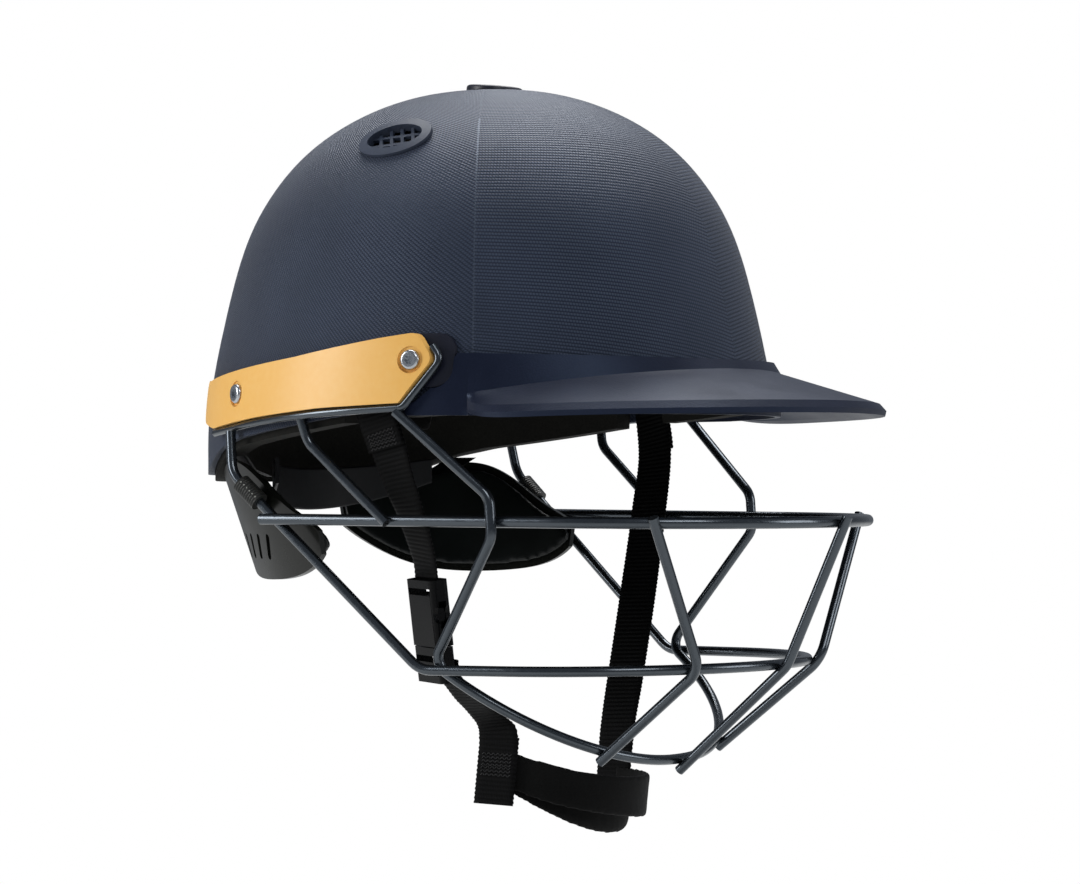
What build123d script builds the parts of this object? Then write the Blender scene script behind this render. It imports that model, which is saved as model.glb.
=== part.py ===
from build123d import *
from functools import lru_cache
import math
import os

# Cricket helmet with a steel face guard, all lengths in millimetres.
# It faces -Y, +X is the wearer's left, +Z is up.
# The origin is on the middle plane, at the level of the shell's side rim.

# Shell dome
half_length = 140.0
half_width = 111.5
crown_height = 152.0
shell_wall = 3.0
rear_rim_drop = 26.0
skirt_share = 0.25
# Width and height of the dome's levels, as shares of its half width and its height
dome_shares = [
    (1.010, -skirt_share), (1.0, 0.0), (0.967, 0.20), (0.914, 0.40), (0.859, 0.55),
    (0.763, 0.70), (0.636, 0.82), (0.478, 0.91), (0.318, 0.965), (0.176, 0.99), (0.0, 1.0),
]
# Side view of the rim: share of the half length, share of the rear drop
rim_shares = [(-1.30, 0.42), (-0.10, 0.05), (0.47, -0.36), (0.61, -0.54), (0.79, -0.98), (1.30, -1.05)]
rim_radii = [400.0, 60.0, 40.0, 40.0]

# Clearances
soft_gap = 0.3
plate_gap = 0.2
pin_gap = 0.06
weld_bite = 0.15
cut_overrun = 20.0

# Padding inside the shell
liner_thickness = 11.0
liner_overhang = 3.0
pad_thickness = 9.0
side_pad_half_length = 50.0
side_pad_half_height = 28.0
side_pad_centre = (24.0, 32.0)
crown_pad_radius = 34.0
brow_pad_height = 26.0
brow_pad_level = 16.0
brow_pad_sweep = 62.0
nape_pad_height = 24.0
nape_pad_level = 8.0
nape_pad_sweep = 46.0
channel_shares = [0.45, 0.95, 0.70, 1.0, 0.72, 1.0, 0.72, 1.0, 0.70, 0.95, 0.45]

# Crown button and oval vents
button_radius = 13.0
button_height = 3.4
button_tilt = 5.0
button_y = -4.0
button_stem_radius = 4.0
crown_curve_share = 1.13
vent_half_length = 16.5
vent_half_height = 10.0
vent_centre = (-3.2, 124.0)
vent_tilt = 7.5
vent_ring = 2.2
vent_rise = 1.3
vent_bar = 1.5
vent_columns = 5
vent_rows = 3
vent_slant = 24.0

# Peak
flange_wall = 2.6
flange_top = 25.0
flange_top_side = 26.5
flange_bottom = 1.0
brim_sweep = 62.0
# Side view of the band behind the brim: share of the half length, share of the flange's height
band_end_shares = [
    (-0.50, 0.0), (-0.50, 1.0), (-0.435, 1.0), (-0.36, 0.42), (-0.315, 0.22), (-0.24, 0.10), (-0.26, 0.0),
]
brim_reach = 54.0
brim_side_reach = 3.5
brim_power = 0.62
crease_front = 21.0
crease_side = 9.5
brim_edge_front = 6.0
brim_edge_side = 2.8
brim_wall = 3.2
brim_lip = 4.6

# Side plates, their screws and spacers
plate_thickness = 3.0
plate_width_grow = 8.0
plate_length_grow = -2.5
plate_corner = 5.0
plate_rear = 103.0
plate_length = 156.0
plate_height = 35.5
# Outline in side view: share of the length from the rear, share of the height
plate_shares = [
    (0.0, 0.507), (0.054, 0.487), (0.551, 0.732), (0.840, 0.935), (0.949, 1.0), (1.0, 0.676),
    (0.913, 0.149), (0.647, 0.096), (0.397, 0.0), (0.122, -0.130), (0.006, -0.042),
]
front_screw_shares = (0.926, 0.668)
rear_screw_shares = (0.295, 0.299)
screw_radius = 2.5
screw_head_radius = 4.4
screw_head_height = 2.5
screw_socket_radius = 2.0
dimple_room = 1.4
dimple_depth = 0.8
nut_barrel_radius = 3.6
nut_flange_radius = 6.0
nut_flange_height = 1.2
nut_slope_share = 0.17
spacer_length = 30.0
spacer_height = 23.0
spacer_corner = 8.0
spacer_shift = 2.5
rear_spacer_radius = 8.0
lug_wall = 1.5
lug_radius = 6.5
lug_foot_shares = (0.916, 0.327)

# Face guard wires
bar_diameter = 5.0
wire_diameter = 4.5
plate_wire_diameter = 3.5
plate_wire_radii = [120.0, 160.0, 4.0, 5.0]
plate_wire_rise_share = 0.5
bar_level = -45.0
bar_rear = (108.2, 43.0)
bar_front = (87.2, -187.5)
bar_front_radius = 94.5
lower_top_y = 65.2
lower_knee = (106.0, 62.0, -25.0)
lower_heel = (95.5, -37.0, -109.3)
lower_front = (80.0, -157.3, -107.0)
lower_front_radius = 90.0
lower_bend_radius = 14.0
chin_top_y = -37.2
chin_knee = (101.9, -79.0, -34.4)
chin_waist = (101.7, -80.3, -51.5)
chin_heel = (91.2, -41.0, -106.5)
chin_front = (74.0, -106.5, -150.5)
chin_front_radius = 89.0
chin_heel_radius = 7.5
chin_knee_radius = 9.0
dropper_top_y = 16.0
dropper_knee = (111.0, 13.2, -11.3)
dropper_bar_y = -27.2
dropper_bend_radius = 12.0
front_wire_angle = 55.0
front_wire_level = -107.4
front_wire_lower_angle = 30.1
front_wire_chin_x = 46.6
front_wire_radius = 13.0
wire_end_over = 2.6

# Neck guards
guard_wall = 3.2
guard_lining = 4.0
guard_centre_y = 12.0
guard_top_half = (104.6, 120.6)
guard_bottom_half = (91.8, 99.6)
guard_top_level = -20.5
guard_height = 52.5
# Angle from the rear centre, then the top and bottom edges as shares of the height down
guard_shares = [
    (86.0, 0.562, 0.762), (80.0, 0.429, 0.905), (70.0, 0.200, 0.981), (60.0, 0.0, 1.0),
    (48.0, 0.019, 0.981), (36.0, 0.152, 0.886), (27.0, 0.200, 0.743), (20.0, 0.257, 0.581),
]
guard_slot_width = 3.2
guard_slot_angles = [64.0, 58.0, 52.0, 46.0, 40.0]
guard_slot_shares = (0.60, 0.83)
guard_slot_tilt = -18.0
clip_sleeve_wall = 2.0
clip_sleeve_length = 13.0
clip_start_share = 0.05
clip_flap_wall = 2.2
clip_flap_angle = 62.0

# Nape cradle
cradle_half = (80.0, 95.0)
cradle_centre_y = 12.0
cradle_sweep = 46.0
cradle_wall = 2.0
cradle_height = 20.0
cradle_end_height = 12.0
cradle_level = -32.5
cradle_end_level = -23.5
hanger_width = 14.0
hanger_wall = 2.0
hanger_rim_shares = (0.56, 0.47)

# Chin strap
webbing_width = 19.0
webbing_wall = 1.5
anchor_y = -20.0
anchor_z = 10.0
strap_sag_room = 1.1
# Places of the right strap between its anchor and the buckle, as shares, and turns in degrees
strap_right_shares = [
    (0.075, 0.38, 0.273, -2.0), (0.31, 0.73, 0.509, 7.0), (0.61, 0.92, 0.70, 15.0),
]
# Places of the left strap between its anchor and the cup
strap_left_shares = [
    (0.03, 0.24, 0.143, 3.0), (0.206, 0.41, 0.31, -2.0), (0.468, 0.60, 0.536, -6.0),
    (0.749, 0.81, 0.75, -5.0), (0.92, 0.93, 0.88, 0.0),
]
# Places of the lower strap between the plug and the patch on the cup
strap_lower_shares = [(0.22, 0.35, 0.30, 17.0), (0.62, 0.80, 0.62, 4.0)]
strap_run_in = 6.0
strap_run_out = 2.5
strap_end_level = -17.0
anchor_pin_radius = 2.5
anchor_head_radius = 5.0
anchor_head_height = 1.2
buckle_top = (-83.5, -31.0, -70.5)
buckle_foot = (-77.5, -32.6, -116.0)
buckle_turn = 22.0
buckle_width = 23.0
buckle_depth = 9.0
socket_length = 29.0
socket_wall = 1.5
socket_waist = 1.6
socket_slot = 3.0
plug_gap = 0.6
ladder_length = 15.5
prong_length = 17.0
prong_width = 3.6
tongue_width = 4.0
cup_half = (48.0, 43.0)
cup_centre_y = -35.0
cup_level = -163.0
cup_roll = 8.5
cup_height = 24.0
cup_end_height = 12.0
cup_wall = 3.0
sling_height = 16.0
sling_wall = 3.0
patch_height = 30.0
patch_wall = 1.6
patch_angle = 100.0
left_end_angle = 268.0
cup_sweep = 84.0
sling_sweep = 70.0


def profile_share(height_share):
    """Width of the dome as a share of its half width, at a share of its height."""
    for (w0, h0), (w1, h1) in zip(dome_shares, dome_shares[1:]):
        if h0 <= height_share <= h1:
            return w0 + (w1 - w0) * (height_share - h0) / (h1 - h0)
    return dome_shares[0][0]


@lru_cache(maxsize=None)
def dome(grow, length_grow=None):
    """Solid dome whose every half size is grown by the same amount."""
    length_grow = grow if length_grow is None else length_grow
    levels = []
    for width, height in dome_shares[:-1]:
        level = height * (crown_height + (grow if height > 0 else 0))
        oval = Ellipse(half_width * width + grow, half_length * width + length_grow)
        levels.append(Pos(0, 0, level) * oval)
    return loft(levels + [Vertex(0, 0, crown_height + grow)])


def dome_point(y, z, grow=0.0):
    """Point of the dome on the wearer's right, at a place in side view."""
    share = profile_share(z / crown_height)
    inside = 1 - (y / (half_length * share + grow)) ** 2
    return Vector(-(half_width * share + grow) * math.sqrt(max(inside, 0)), y, z)


def dome_normal(y, z):
    """Outward direction of the dome in plan, on the wearer's right."""
    foot = dome_point(y, z)
    return Vector(foot.X / half_width ** 2, foot.Y / half_length ** 2, 0).normalized()


def below_rim(drop=0.0):
    """Everything under the rim line, lowered by a drop."""
    line = [(0, y * half_length, z * rear_rim_drop - drop) for y, z in rim_shares]
    deep = -(rear_rim_drop + 2 * crown_height * skirt_share)
    front = (0, line[0][1], deep)
    rear = (0, line[-1][1], deep)
    edge = FilletPolyline(*line, radius=rim_radii)
    outline = edge + Line(line[-1], rear) + Line(rear, front) + Line(front, line[0])
    return extrude(make_face(outline), half_width + cut_overrun, dir=(1, 0, 0), both=True)


def side_prism(outline_face, depth=None):
    """Prism towards the wearer's right from an outline in the middle plane."""
    return extrude(outline_face, depth or half_width + cut_overrun, dir=(-1, 0, 0))


def mirrored(shape):
    """The same piece on the wearer's left."""
    return mirror(shape, about=Plane.YZ)


def flipped(point):
    x, y, z = point
    return (-x, y, z)


def wire(points, radii, diameter):
    """Round wire along straight runs joined by tangent arcs."""
    path = FilletPolyline(*points, radius=radii)
    start = Plane(origin=path @ 0, z_dir=path % 0)
    return sweep(start * Circle(diameter / 2), path=path)


def ellipse_point(half, centre_y, angle, level):
    """Point of a plan ellipse, with the angle counted from the rear centre to the right."""
    turn = math.radians(angle)
    return Vector(-half[0] * math.sin(turn), centre_y + half[1] * math.cos(turn), level)


def ellipse_out(half, angle):
    """Outward direction of a plan ellipse."""
    turn = math.radians(angle)
    return Vector(-math.sin(turn) / half[0], math.cos(turn) / half[1], 0).normalized()


def upright_section(centre, out, depth, height, corner_share=0.45):
    """Upright rounded section that stands across a band's run."""
    plane = Plane(origin=centre, x_dir=out, z_dir=Vector(0, 0, 1).cross(out))
    corner = corner_share * min(depth, height)
    return plane * RectangleRounded(depth, height, corner)


# Shell, liner and pads

def vent_plane():
    """Plane on the dome at the middle of the right vent."""
    y, z = vent_centre
    foot = dome_point(y, z)
    out = Vector(
        foot.X / half_width ** 2, foot.Y / half_length ** 2, foot.Z / crown_height ** 2
    ).normalized()
    ahead = Vector(0, -math.cos(math.radians(vent_tilt)), math.sin(math.radians(vent_tilt)))
    return Plane(origin=foot, x_dir=ahead, z_dir=out)


def vent_hole(grow=0.0):
    """Oval prism through the shell at both vents."""
    depth = 2 * (shell_wall + liner_thickness)
    oval = vent_plane() * Ellipse(vent_half_length + grow, vent_half_height + grow)
    hole = extrude(oval, depth, both=True)
    return hole + mirrored(hole)


def plate_spot(shares):
    """Place in side view from shares of the plate's length and height."""
    return (plate_rear - shares[0] * plate_length, shares[1] * plate_height)


def screw_spots():
    return [plate_spot(front_screw_shares), plate_spot(rear_screw_shares)]


def screw_axes():
    """Place and outward direction of the right plate's two screws, on the shell."""
    return [(dome_point(y, z), dome_normal(y, z)) for y, z in screw_spots()]


def along(point, out, start, length, radius):
    """Cylinder along a direction, starting at a distance from a point."""
    plane = Plane(origin=point + out * start, z_dir=out)
    return extrude(plane * Circle(radius), length)


def screw_holes(radius, both_sides=True):
    cuts = [along(p, n, -cut_overrun, 2 * cut_overrun, radius) for p, n in screw_axes()]
    if both_sides:
        cuts += [mirrored(cut) for cut in cuts]
    return cuts


def button_hole(radius):
    plane = Plane(origin=(0, button_y, crown_height - cut_overrun))
    return extrude(plane * Circle(radius), 2 * cut_overrun)


def make_shell():
    cuts = screw_holes(nut_barrel_radius + plate_gap)
    cuts += [below_rim(), vent_hole(), button_hole(button_stem_radius + plate_gap), anchor_cut()]
    return dome(0.0) - [dome(-shell_wall)] - cuts


def strap_notch():
    """Room for the strap and its anchor between shell and head."""
    high = anchor_z + anchor_head_radius + pad_thickness
    half_top = webbing_width / 2 + liner_overhang
    half_foot = webbing_width
    low = -(rear_rim_drop + cut_overrun)
    y = anchor_y
    outline = Polyline(
        (0, y - half_top, high), (0, y + half_top, high),
        (0, y + half_foot, low), (0, y - half_foot, low), close=True,
    )
    return side_prism(make_face(outline))


def liner_inner():
    return shell_wall + soft_gap + liner_thickness


def make_liner():
    notch = strap_notch()
    cuts = [below_rim(liner_overhang), notch, mirrored(notch), vent_hole(-vent_ring)]
    nut_room = nut_flange_radius + plate_gap
    for p, n in screw_axes():
        deep = nut_depth() + nut_flange_height + plate_gap
        room = along(p, n, -deep, deep, nut_room)
        cuts += [room, mirrored(room)]
    cuts.append(button_hole(button_stem_radius + nut_flange_height))
    return dome(-shell_wall - soft_gap) - [dome(-liner_inner())] - cuts


def make_side_pad():
    """Oval fleece cushion against the liner's side."""
    y, z = side_pad_centre
    middle = dome_point(y, 0) + dome_normal(y, 0) * -(liner_inner() + soft_gap)
    oval = scale(
        Sphere(1), by=(pad_thickness, side_pad_half_length, side_pad_half_height)
    )
    lean = math.degrees(math.atan2(dome_normal(y, 0).Y, -dome_normal(y, 0).X))
    oval = Pos(middle.X, middle.Y, z) * Rot(0, 0, -lean) * oval
    groove = Pos(middle.X + pad_thickness, y, z) * Box(
        pad_thickness, side_pad_half_length / 16, 4 * side_pad_half_height
    )
    return (oval & dome(-liner_inner() - soft_gap)) - groove


def make_crown_pad():
    """Round cushion under the crown, with a cross of channels."""
    level = crown_height - liner_inner() - soft_gap
    disc = scale(Sphere(1), by=(crown_pad_radius, crown_pad_radius * 1.2, pad_thickness))
    disc = Pos(0, 0, level) * disc & dome(-liner_inner() - soft_gap)
    channel = crown_pad_radius / 12
    deep = level - pad_thickness
    for turn in (0, 90):
        disc -= Pos(0, 0, deep) * Rot(0, 0, turn) * Box(
            4 * crown_pad_radius, channel, pad_thickness
        )
    return disc


def make_band_pad(angle_from, angle_to, level, height):
    """Cushion round the inside of the liner, thinner at its channels."""
    sections = []
    count = len(channel_shares)
    share = profile_share(level / crown_height)
    half = (
        (half_width - liner_inner()) * share - soft_gap,
        (half_length - liner_inner()) * share - soft_gap,
    )
    for i, thick in enumerate(channel_shares):
        angle = angle_from + (angle_to - angle_from) * i / (count - 1)
        out = ellipse_out(half, angle)
        depth = pad_thickness * thick
        tall = height * (0.55 + 0.45 * math.sqrt(thick))
        centre = ellipse_point(half, 0, angle, level) - out * (pad_thickness / 2 + soft_gap)
        centre = centre - out * ((depth - pad_thickness) / 2)
        plane = Plane(origin=centre, x_dir=out, z_dir=Vector(0, 0, 1).cross(out))
        sections.append(plane * Ellipse(depth / 2, tall / 2))
    return loft(sections) & dome(-liner_inner() - soft_gap)


def make_button():
    """Low cap on the crown, tilted up towards the front, with a stem through the shell."""
    plane = Plane(origin=(0, button_y, crown_height - button_height * 0.45))
    cap = extrude(Circle(button_radius), button_height)
    cap = fillet(cap.edges().group_by(Axis.Z)[-1], button_height * 0.4)
    cap = plane * (Rot(button_tilt, 0, 0) * cap)
    crown_curve = half_width * crown_curve_share
    cap -= Pos(0, button_y / 2, crown_height + soft_gap - crown_curve) * Sphere(crown_curve)
    stem = Plane(origin=(0, button_y, crown_height - shell_wall - nut_flange_height))
    length = shell_wall + nut_flange_height + button_height / 2
    return cap + extrude(stem * Circle(button_stem_radius), length)


def make_vent():
    """Oval insert with a raised ring and a lattice of slanted openings."""
    plane = vent_plane()
    fit = plate_gap
    foot = plane.offset(-shell_wall)
    tall = shell_wall * 2
    sleeve_oval = Ellipse(vent_half_length - fit, vent_half_height - fit)
    collar_oval = Ellipse(vent_half_length + vent_ring, vent_half_height + vent_ring)
    open_oval = Ellipse(vent_half_length - vent_ring, vent_half_height - vent_ring)
    core = foot * extrude(open_oval, tall)
    sleeve = (foot * extrude(sleeve_oval, tall) - core) & dome(vent_rise / 2)
    ring = (foot * extrude(collar_oval, tall) - core) & dome(vent_rise)
    ring -= dome(fit)
    cell_long = 2 * (vent_half_length - vent_ring) / vent_columns
    cell_high = 2 * (vent_half_height - vent_ring) / vent_rows
    bar_depth = shell_wall * 0.55
    bars = []
    for i in range(1, vent_columns):
        x = cell_long * (i - vent_columns / 2)
        slat = Rectangle(vent_bar, 4 * vent_half_height)
        bars.append(Pos(x, 0, 0) * Rot(0, 0, vent_slant) * slat)
    for j in range(1, vent_rows):
        y = cell_high * (j - vent_rows / 2)
        bars.append(Pos(0, y, 0) * Rectangle(4 * vent_half_length, vent_bar))
    lattice = bars[0] + bars[1:]
    lattice = foot * extrude(lattice & collar_oval & sleeve_oval, bar_depth)
    return ring + sleeve + lattice


# Peak

def make_peak():
    """Brim and the band that carries it round the front of the shell."""
    sections = []
    count = 15
    for i in range(count):
        t = 2 * i / (count - 1) - 1
        angle = 180 - t * brim_sweep
        half = (half_width + soft_gap, half_length + soft_gap)
        out = ellipse_out(half, angle)
        fade = max(math.cos(math.radians(t * 90)), 0) ** brim_power
        reach = brim_side_reach + (brim_reach - brim_side_reach) * fade
        crease = crease_side + (crease_front - crease_side) * (1 - t * t)
        edge = brim_edge_side + (brim_edge_front - brim_edge_side) * (1 - abs(t) ** 1.5)
        top = flange_top + (flange_top_side - flange_top) * t * t
        low = flange_bottom * (1 - t * t)
        profile = [
            (inner_at(low), low), (flange_wall + inner_at(low), low),
            (flange_wall * 1.6, crease - brim_wall * 1.5),
            (reach - brim_lip, edge - brim_wall), (reach, edge - brim_lip),
            (reach + brim_wall / 6, edge - brim_lip / 2), (reach - brim_lip / 2, edge + brim_wall / 4),
            (flange_wall * 1.25, crease), (flange_wall + inner_at(top), top), (inner_at(top), top),
        ]
        if reach < 3 * brim_lip:
            profile = side_profile(low, top, crease, edge, reach)
        base = ellipse_point(half, 0, angle, 0)
        points = [base + out * r + Vector(0, 0, z) for r, z in profile]
        sections.append(make_face(Polyline(*points, close=True)))
    end = band_end()
    return loft(sections) - dome(soft_gap) + end + mirrored(end)


def band_end():
    """The band behind the brim, which slants down to a tip under the spacer."""
    outline = Polyline(*[(0, y * half_length, z * flange_top_side) for y, z in band_end_shares], close=True)
    end = side_prism(make_face(outline)) - side_prism(spacer_outline(2 * soft_gap))
    return (end & dome(soft_gap + flange_wall)) - dome(soft_gap)


def inner_at(z):
    """Distance of the dome from its rim ellipse, in plan, at a level."""
    return half_width * (profile_share(z / crown_height) - 1)


def side_profile(low, top, crease, edge, reach):
    """Section of the peak where the brim dies into the band."""
    return [
        (inner_at(low), low), (flange_wall * 0.9, low),
        (flange_wall * 1.1, (low + edge) / 2 - flange_wall / 2),
        (reach - flange_wall / 6, (low + edge) / 2), (reach, edge - flange_wall / 2),
        (reach, edge), (reach - flange_wall / 8, (crease + edge) / 2),
        (flange_wall * 1.2, crease), (flange_wall + inner_at(top), top), (inner_at(top), top),
    ]


# Side plates

def plate_face():
    spots = [plate_spot(shares) for shares in plate_shares]
    face = make_face(Polyline(*[(0, y, z) for y, z in spots], close=True))
    ahead, behind = [y for y, z in screw_spots()]
    corners = [v for v in face.vertices() if v.Y > behind or v.Y < ahead]
    return fillet(corners, plate_corner)


def plate_edge(y):
    """Level of the plate's lower edge at a place along it."""
    edge = [plate_spot(shares) for shares in plate_shares[6:]]
    for (y0, z0), (y1, z1) in zip(edge, edge[1:]):
        if y0 <= y <= y1:
            return z0 + (z1 - z0) * (y - y0) / (y1 - y0)
    return edge[0][1]


def make_plate():
    inner = dome(plate_width_grow - plate_thickness, plate_length_grow - plate_thickness)
    body = side_prism(plate_face()) & dome(plate_width_grow, plate_length_grow)
    cuts = screw_holes(screw_radius + plate_gap, both_sides=False)
    for p, n in screw_axes():
        floor = plate_out(p, n) - dimple_depth
        cuts.append(along(p, n, floor, cut_overrun, screw_head_radius + dimple_room))
    return body - [inner, dome(soft_gap)] - cuts


def plate_out(point, out, grow=0.0):
    """Distance from the shell to the plate's outer face, along a screw."""
    wide = half_width + plate_width_grow + grow
    long = half_length + plate_length_grow + grow
    lo, hi = 0.0, 4 * plate_width_grow
    for _ in range(40):
        mid = (lo + hi) / 2
        spot = point + out * mid
        slim = 1 - profile_share(point.Z / crown_height)
        wide_here = wide - half_width * slim
        long_here = long - half_length * slim
        if (spot.X / wide_here) ** 2 + (spot.Y / long_here) ** 2 < 1:
            lo = mid
        else:
            hi = mid
    return lo


def make_screw(point, out):
    """Button-head screw with a six-lobe socket, from the plate into its nut."""
    face = plate_out(point, out) - dimple_depth
    head = extrude(Circle(screw_head_radius), screw_head_height)
    head = fillet(head.edges().group_by(Axis.Z)[-1], screw_head_height * 0.6)
    deep = screw_head_height * 0.45
    lobes = [Pos(0, 0, deep) * extrude(Circle(screw_socket_radius * 0.75), screw_head_height)]
    for k in range(6):
        lobe = Pos(screw_socket_radius * 0.72, 0, deep) * extrude(
            Circle(screw_socket_radius * 0.3), screw_head_height
        )
        lobes.append(Rot(0, 0, 60 * k) * lobe)
    seat = Plane(origin=point + out * face, z_dir=out)
    shank = along(point, out, -shell_wall, face + shell_wall, screw_radius)
    return seat * (head - lobes) + shank


def nut_depth():
    """Depth of a nut flange's outer face under the shell's outer face."""
    return shell_wall + nut_flange_radius * nut_slope_share


def make_nut(point, out):
    """Flanged barrel nut in the shell wall."""
    deep = nut_depth() + nut_flange_height
    barrel = along(point, out, -deep, deep, nut_barrel_radius)
    flange = along(point, out, -deep, nut_flange_height, nut_flange_radius)
    bore = along(point, out, -cut_overrun, 2 * cut_overrun, screw_radius + pin_gap)
    return barrel + flange - bore


def spacer_outline(grow=0.0):
    """Rounded side view of the front spacer, in the middle plane."""
    y, z = screw_spots()[0]
    face = RectangleRounded(spacer_length + 2 * grow, spacer_height + 2 * grow, spacer_corner + grow)
    return Plane.YZ * Pos(y - spacer_shift, z) * face


def make_front_spacer():
    """Rounded block between the shell and the plate's front end."""
    inner = -plate_thickness - lug_wall - plate_gap
    body = dome(plate_width_grow + inner, plate_length_grow + inner) & side_prism(spacer_outline())
    body -= dome(plate_gap)
    return body - screw_holes(screw_radius + plate_gap, both_sides=False)[0]


def make_rear_spacer():
    point, out = screw_axes()[1]
    inner = -plate_thickness - lug_wall - plate_gap
    ring = along(point, out, 0, plate_out(point, out), rear_spacer_radius)
    ring = ring & dome(plate_width_grow + inner, plate_length_grow + inner)
    ring -= dome(plate_gap)
    return ring - screw_holes(screw_radius + plate_gap, both_sides=False)[1]


def lug_outline(y, z, foot_y, foot_z):
    """Eyelet with a tail that runs to the plate wire."""
    eye = Plane.YZ * Pos(y, z) * Circle(lug_radius)
    across = Vector(0, foot_y - y, foot_z - z).normalized().cross(Vector(1, 0, 0)) * lug_radius * 0.7
    top = Vector(0, y, z)
    foot = Vector(0, foot_y, foot_z)
    tail = make_face(Polyline(top + across, foot + across, foot - across, top - across, close=True))
    return side_prism(eye) + side_prism(tail)


def make_lugs():
    """Two flat steel eyelets that hang the face guard on the plate's screws."""
    far = -plate_thickness - lug_wall - plate_gap / 2
    near = -plate_thickness - plate_gap / 2
    outer = dome(plate_width_grow + near, plate_length_grow + near)
    inner = dome(plate_width_grow + far, plate_length_grow + far)
    half_wire = plate_wire_diameter / 2
    lugs = []
    for i, (y, z) in enumerate(screw_spots()):
        foot_y = plate_spot((lug_foot_shares[i], 0))[0]
        foot_z = plate_edge(foot_y) + half_wire
        lug = lug_outline(y, z, foot_y, foot_z) & outer
        hole = screw_holes(screw_radius + plate_gap, both_sides=False)[i]
        lugs.append(lug - [inner, dome(plate_gap), hole])
    return lugs


# Face guard

def plate_wire_place(y, z):
    """Place of the left plate wire's middle, behind the plate and clear of the shell."""
    slim = 1 - profile_share(z / crown_height)
    wide = half_width * (1 - slim) + plate_width_grow - plate_thickness / 2
    long = half_length * (1 - slim) + plate_length_grow - plate_thickness / 2
    x = wide * math.sqrt(1 - (y / long) ** 2)
    shell = -dome_point(y, z).X
    least = shell + (plate_wire_diameter / 2 + plate_gap) / max(-dome_normal(y, z).X, 0.5)
    return (max(x, least), y, z)


def plate_wire_away():
    return plate_wire_diameter / 2 + plate_gap


def under_plate(y, drop=0.0):
    """Place of the plate wire under the plate's lower edge, or lower by a drop."""
    x, y, z = plate_wire_place(y, plate_edge(y) - plate_wire_away())
    return (x, y, z - drop)


def butt_drop():
    """How far under the plate wire's middle a wire ends that is welded to it from below."""
    return plate_wire_diameter / 2 - weld_bite


def mitre(before, spot, after, away):
    """Corner of a line beside an outline, at a distance from both of its edges."""
    ways = []
    for a, b in ((before, spot), (spot, after)):
        length = math.dist(a, b)
        ways.append(((b[0] - a[0]) / length, (b[1] - a[1]) / length))
    side = [(w[1], -w[0]) for w in ways]
    reach = 1 + side[0][0] * side[1][0] + side[0][1] * side[1][1]
    return tuple(spot[i] - away * (side[0][i] + side[1][i]) / reach for i in range(2))


def plate_wire_points():
    """The wire under the plate's lower edge and up its slanted front edge."""
    away = plate_wire_away()
    table = [plate_spot(shares) for shares in plate_shares]
    corner = plate_wire_place(*mitre(table[7], table[6], table[5], away))
    tip = mitre(table[6], table[5], table[4], away)
    rise = math.dist(table[5], table[4])
    way = [(b - a) / rise for a, b in zip(table[5], table[4])]
    top = [a + w * rise * plate_wire_rise_share for a, w in zip(tip, way)]
    run = [under_plate(table[i][0]) for i in (9, 8, 7)]
    return [flipped(p) for p in run + [corner, plate_wire_place(*tip), plate_wire_place(*top)]]


def make_plate_wire():
    return wire(plate_wire_points(), plate_wire_radii, plate_wire_diameter)


def bar_side_x(y):
    """Half width of the main bar's leg at a place along it."""
    share = (y - bar_rear[1]) / (bar_front[1] - bar_rear[1])
    return bar_rear[0] + (bar_front[0] - bar_rear[0]) * share


def lap(first, second):
    """Distance between the middles of two wires that are welded together."""
    return (first + second) / 2 - weld_bite


def make_main_bar():
    right = [(-bar_rear[0], bar_rear[1], bar_level), (-bar_front[0], bar_front[1], bar_level)]
    points = right + [flipped(p) for p in reversed(right)]
    return wire(points, bar_front_radius, bar_diameter)


def make_lower_wire():
    top = under_plate(lower_top_y, butt_drop())
    right = [flipped(p) for p in (top, lower_knee, lower_heel, lower_front)]
    points = right + [flipped(p) for p in reversed(right)]
    bend = lower_bend_radius
    front = lower_front_radius
    return wire(points, [bend, bend, front, front, bend, bend], wire_diameter)


def make_chin_wire():
    top = under_plate(chin_top_y, butt_drop())
    right = [flipped(p) for p in (top, chin_knee, chin_waist, chin_heel, chin_front)]
    points = right + [flipped(p) for p in reversed(right)]
    half = [chin_knee_radius, chin_knee_radius, chin_heel_radius, chin_front_radius]
    return wire(points, half + half[::-1], wire_diameter)


def make_side_dropper():
    end_x = bar_side_x(dropper_bar_y) + lap(bar_diameter, wire_diameter)
    end = (end_x, dropper_bar_y, bar_level - bar_diameter * 0.2)
    x, y, z = under_plate(dropper_top_y)
    top = (x - lap(plate_wire_diameter, wire_diameter), y, z)
    points = [flipped(p) for p in (top, dropper_knee, end)]
    return wire(points, [dropper_bend_radius], wire_diameter)


def arc_centre(front, radius, start):
    """Centre of the fillet arc in the front corner of a wire, in plan."""
    leg = math.atan2(start[0] - front[0], start[1] - front[1])
    turn = math.pi / 2 - leg
    back = radius * math.tan(turn / 2)
    return (front[0] - back, front[1] + radius)


def nose_point(front, radius, start, away, angle, level):
    """Point outside a wire's front arc, at an angle from its nose."""
    cx, cy = arc_centre(front, radius, start)
    turn = math.radians(angle)
    if angle == 0:
        return (0, cy - radius - away, level)
    return (-cx - (radius + away) * math.sin(turn), cy - (radius + away) * math.cos(turn), level)


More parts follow.
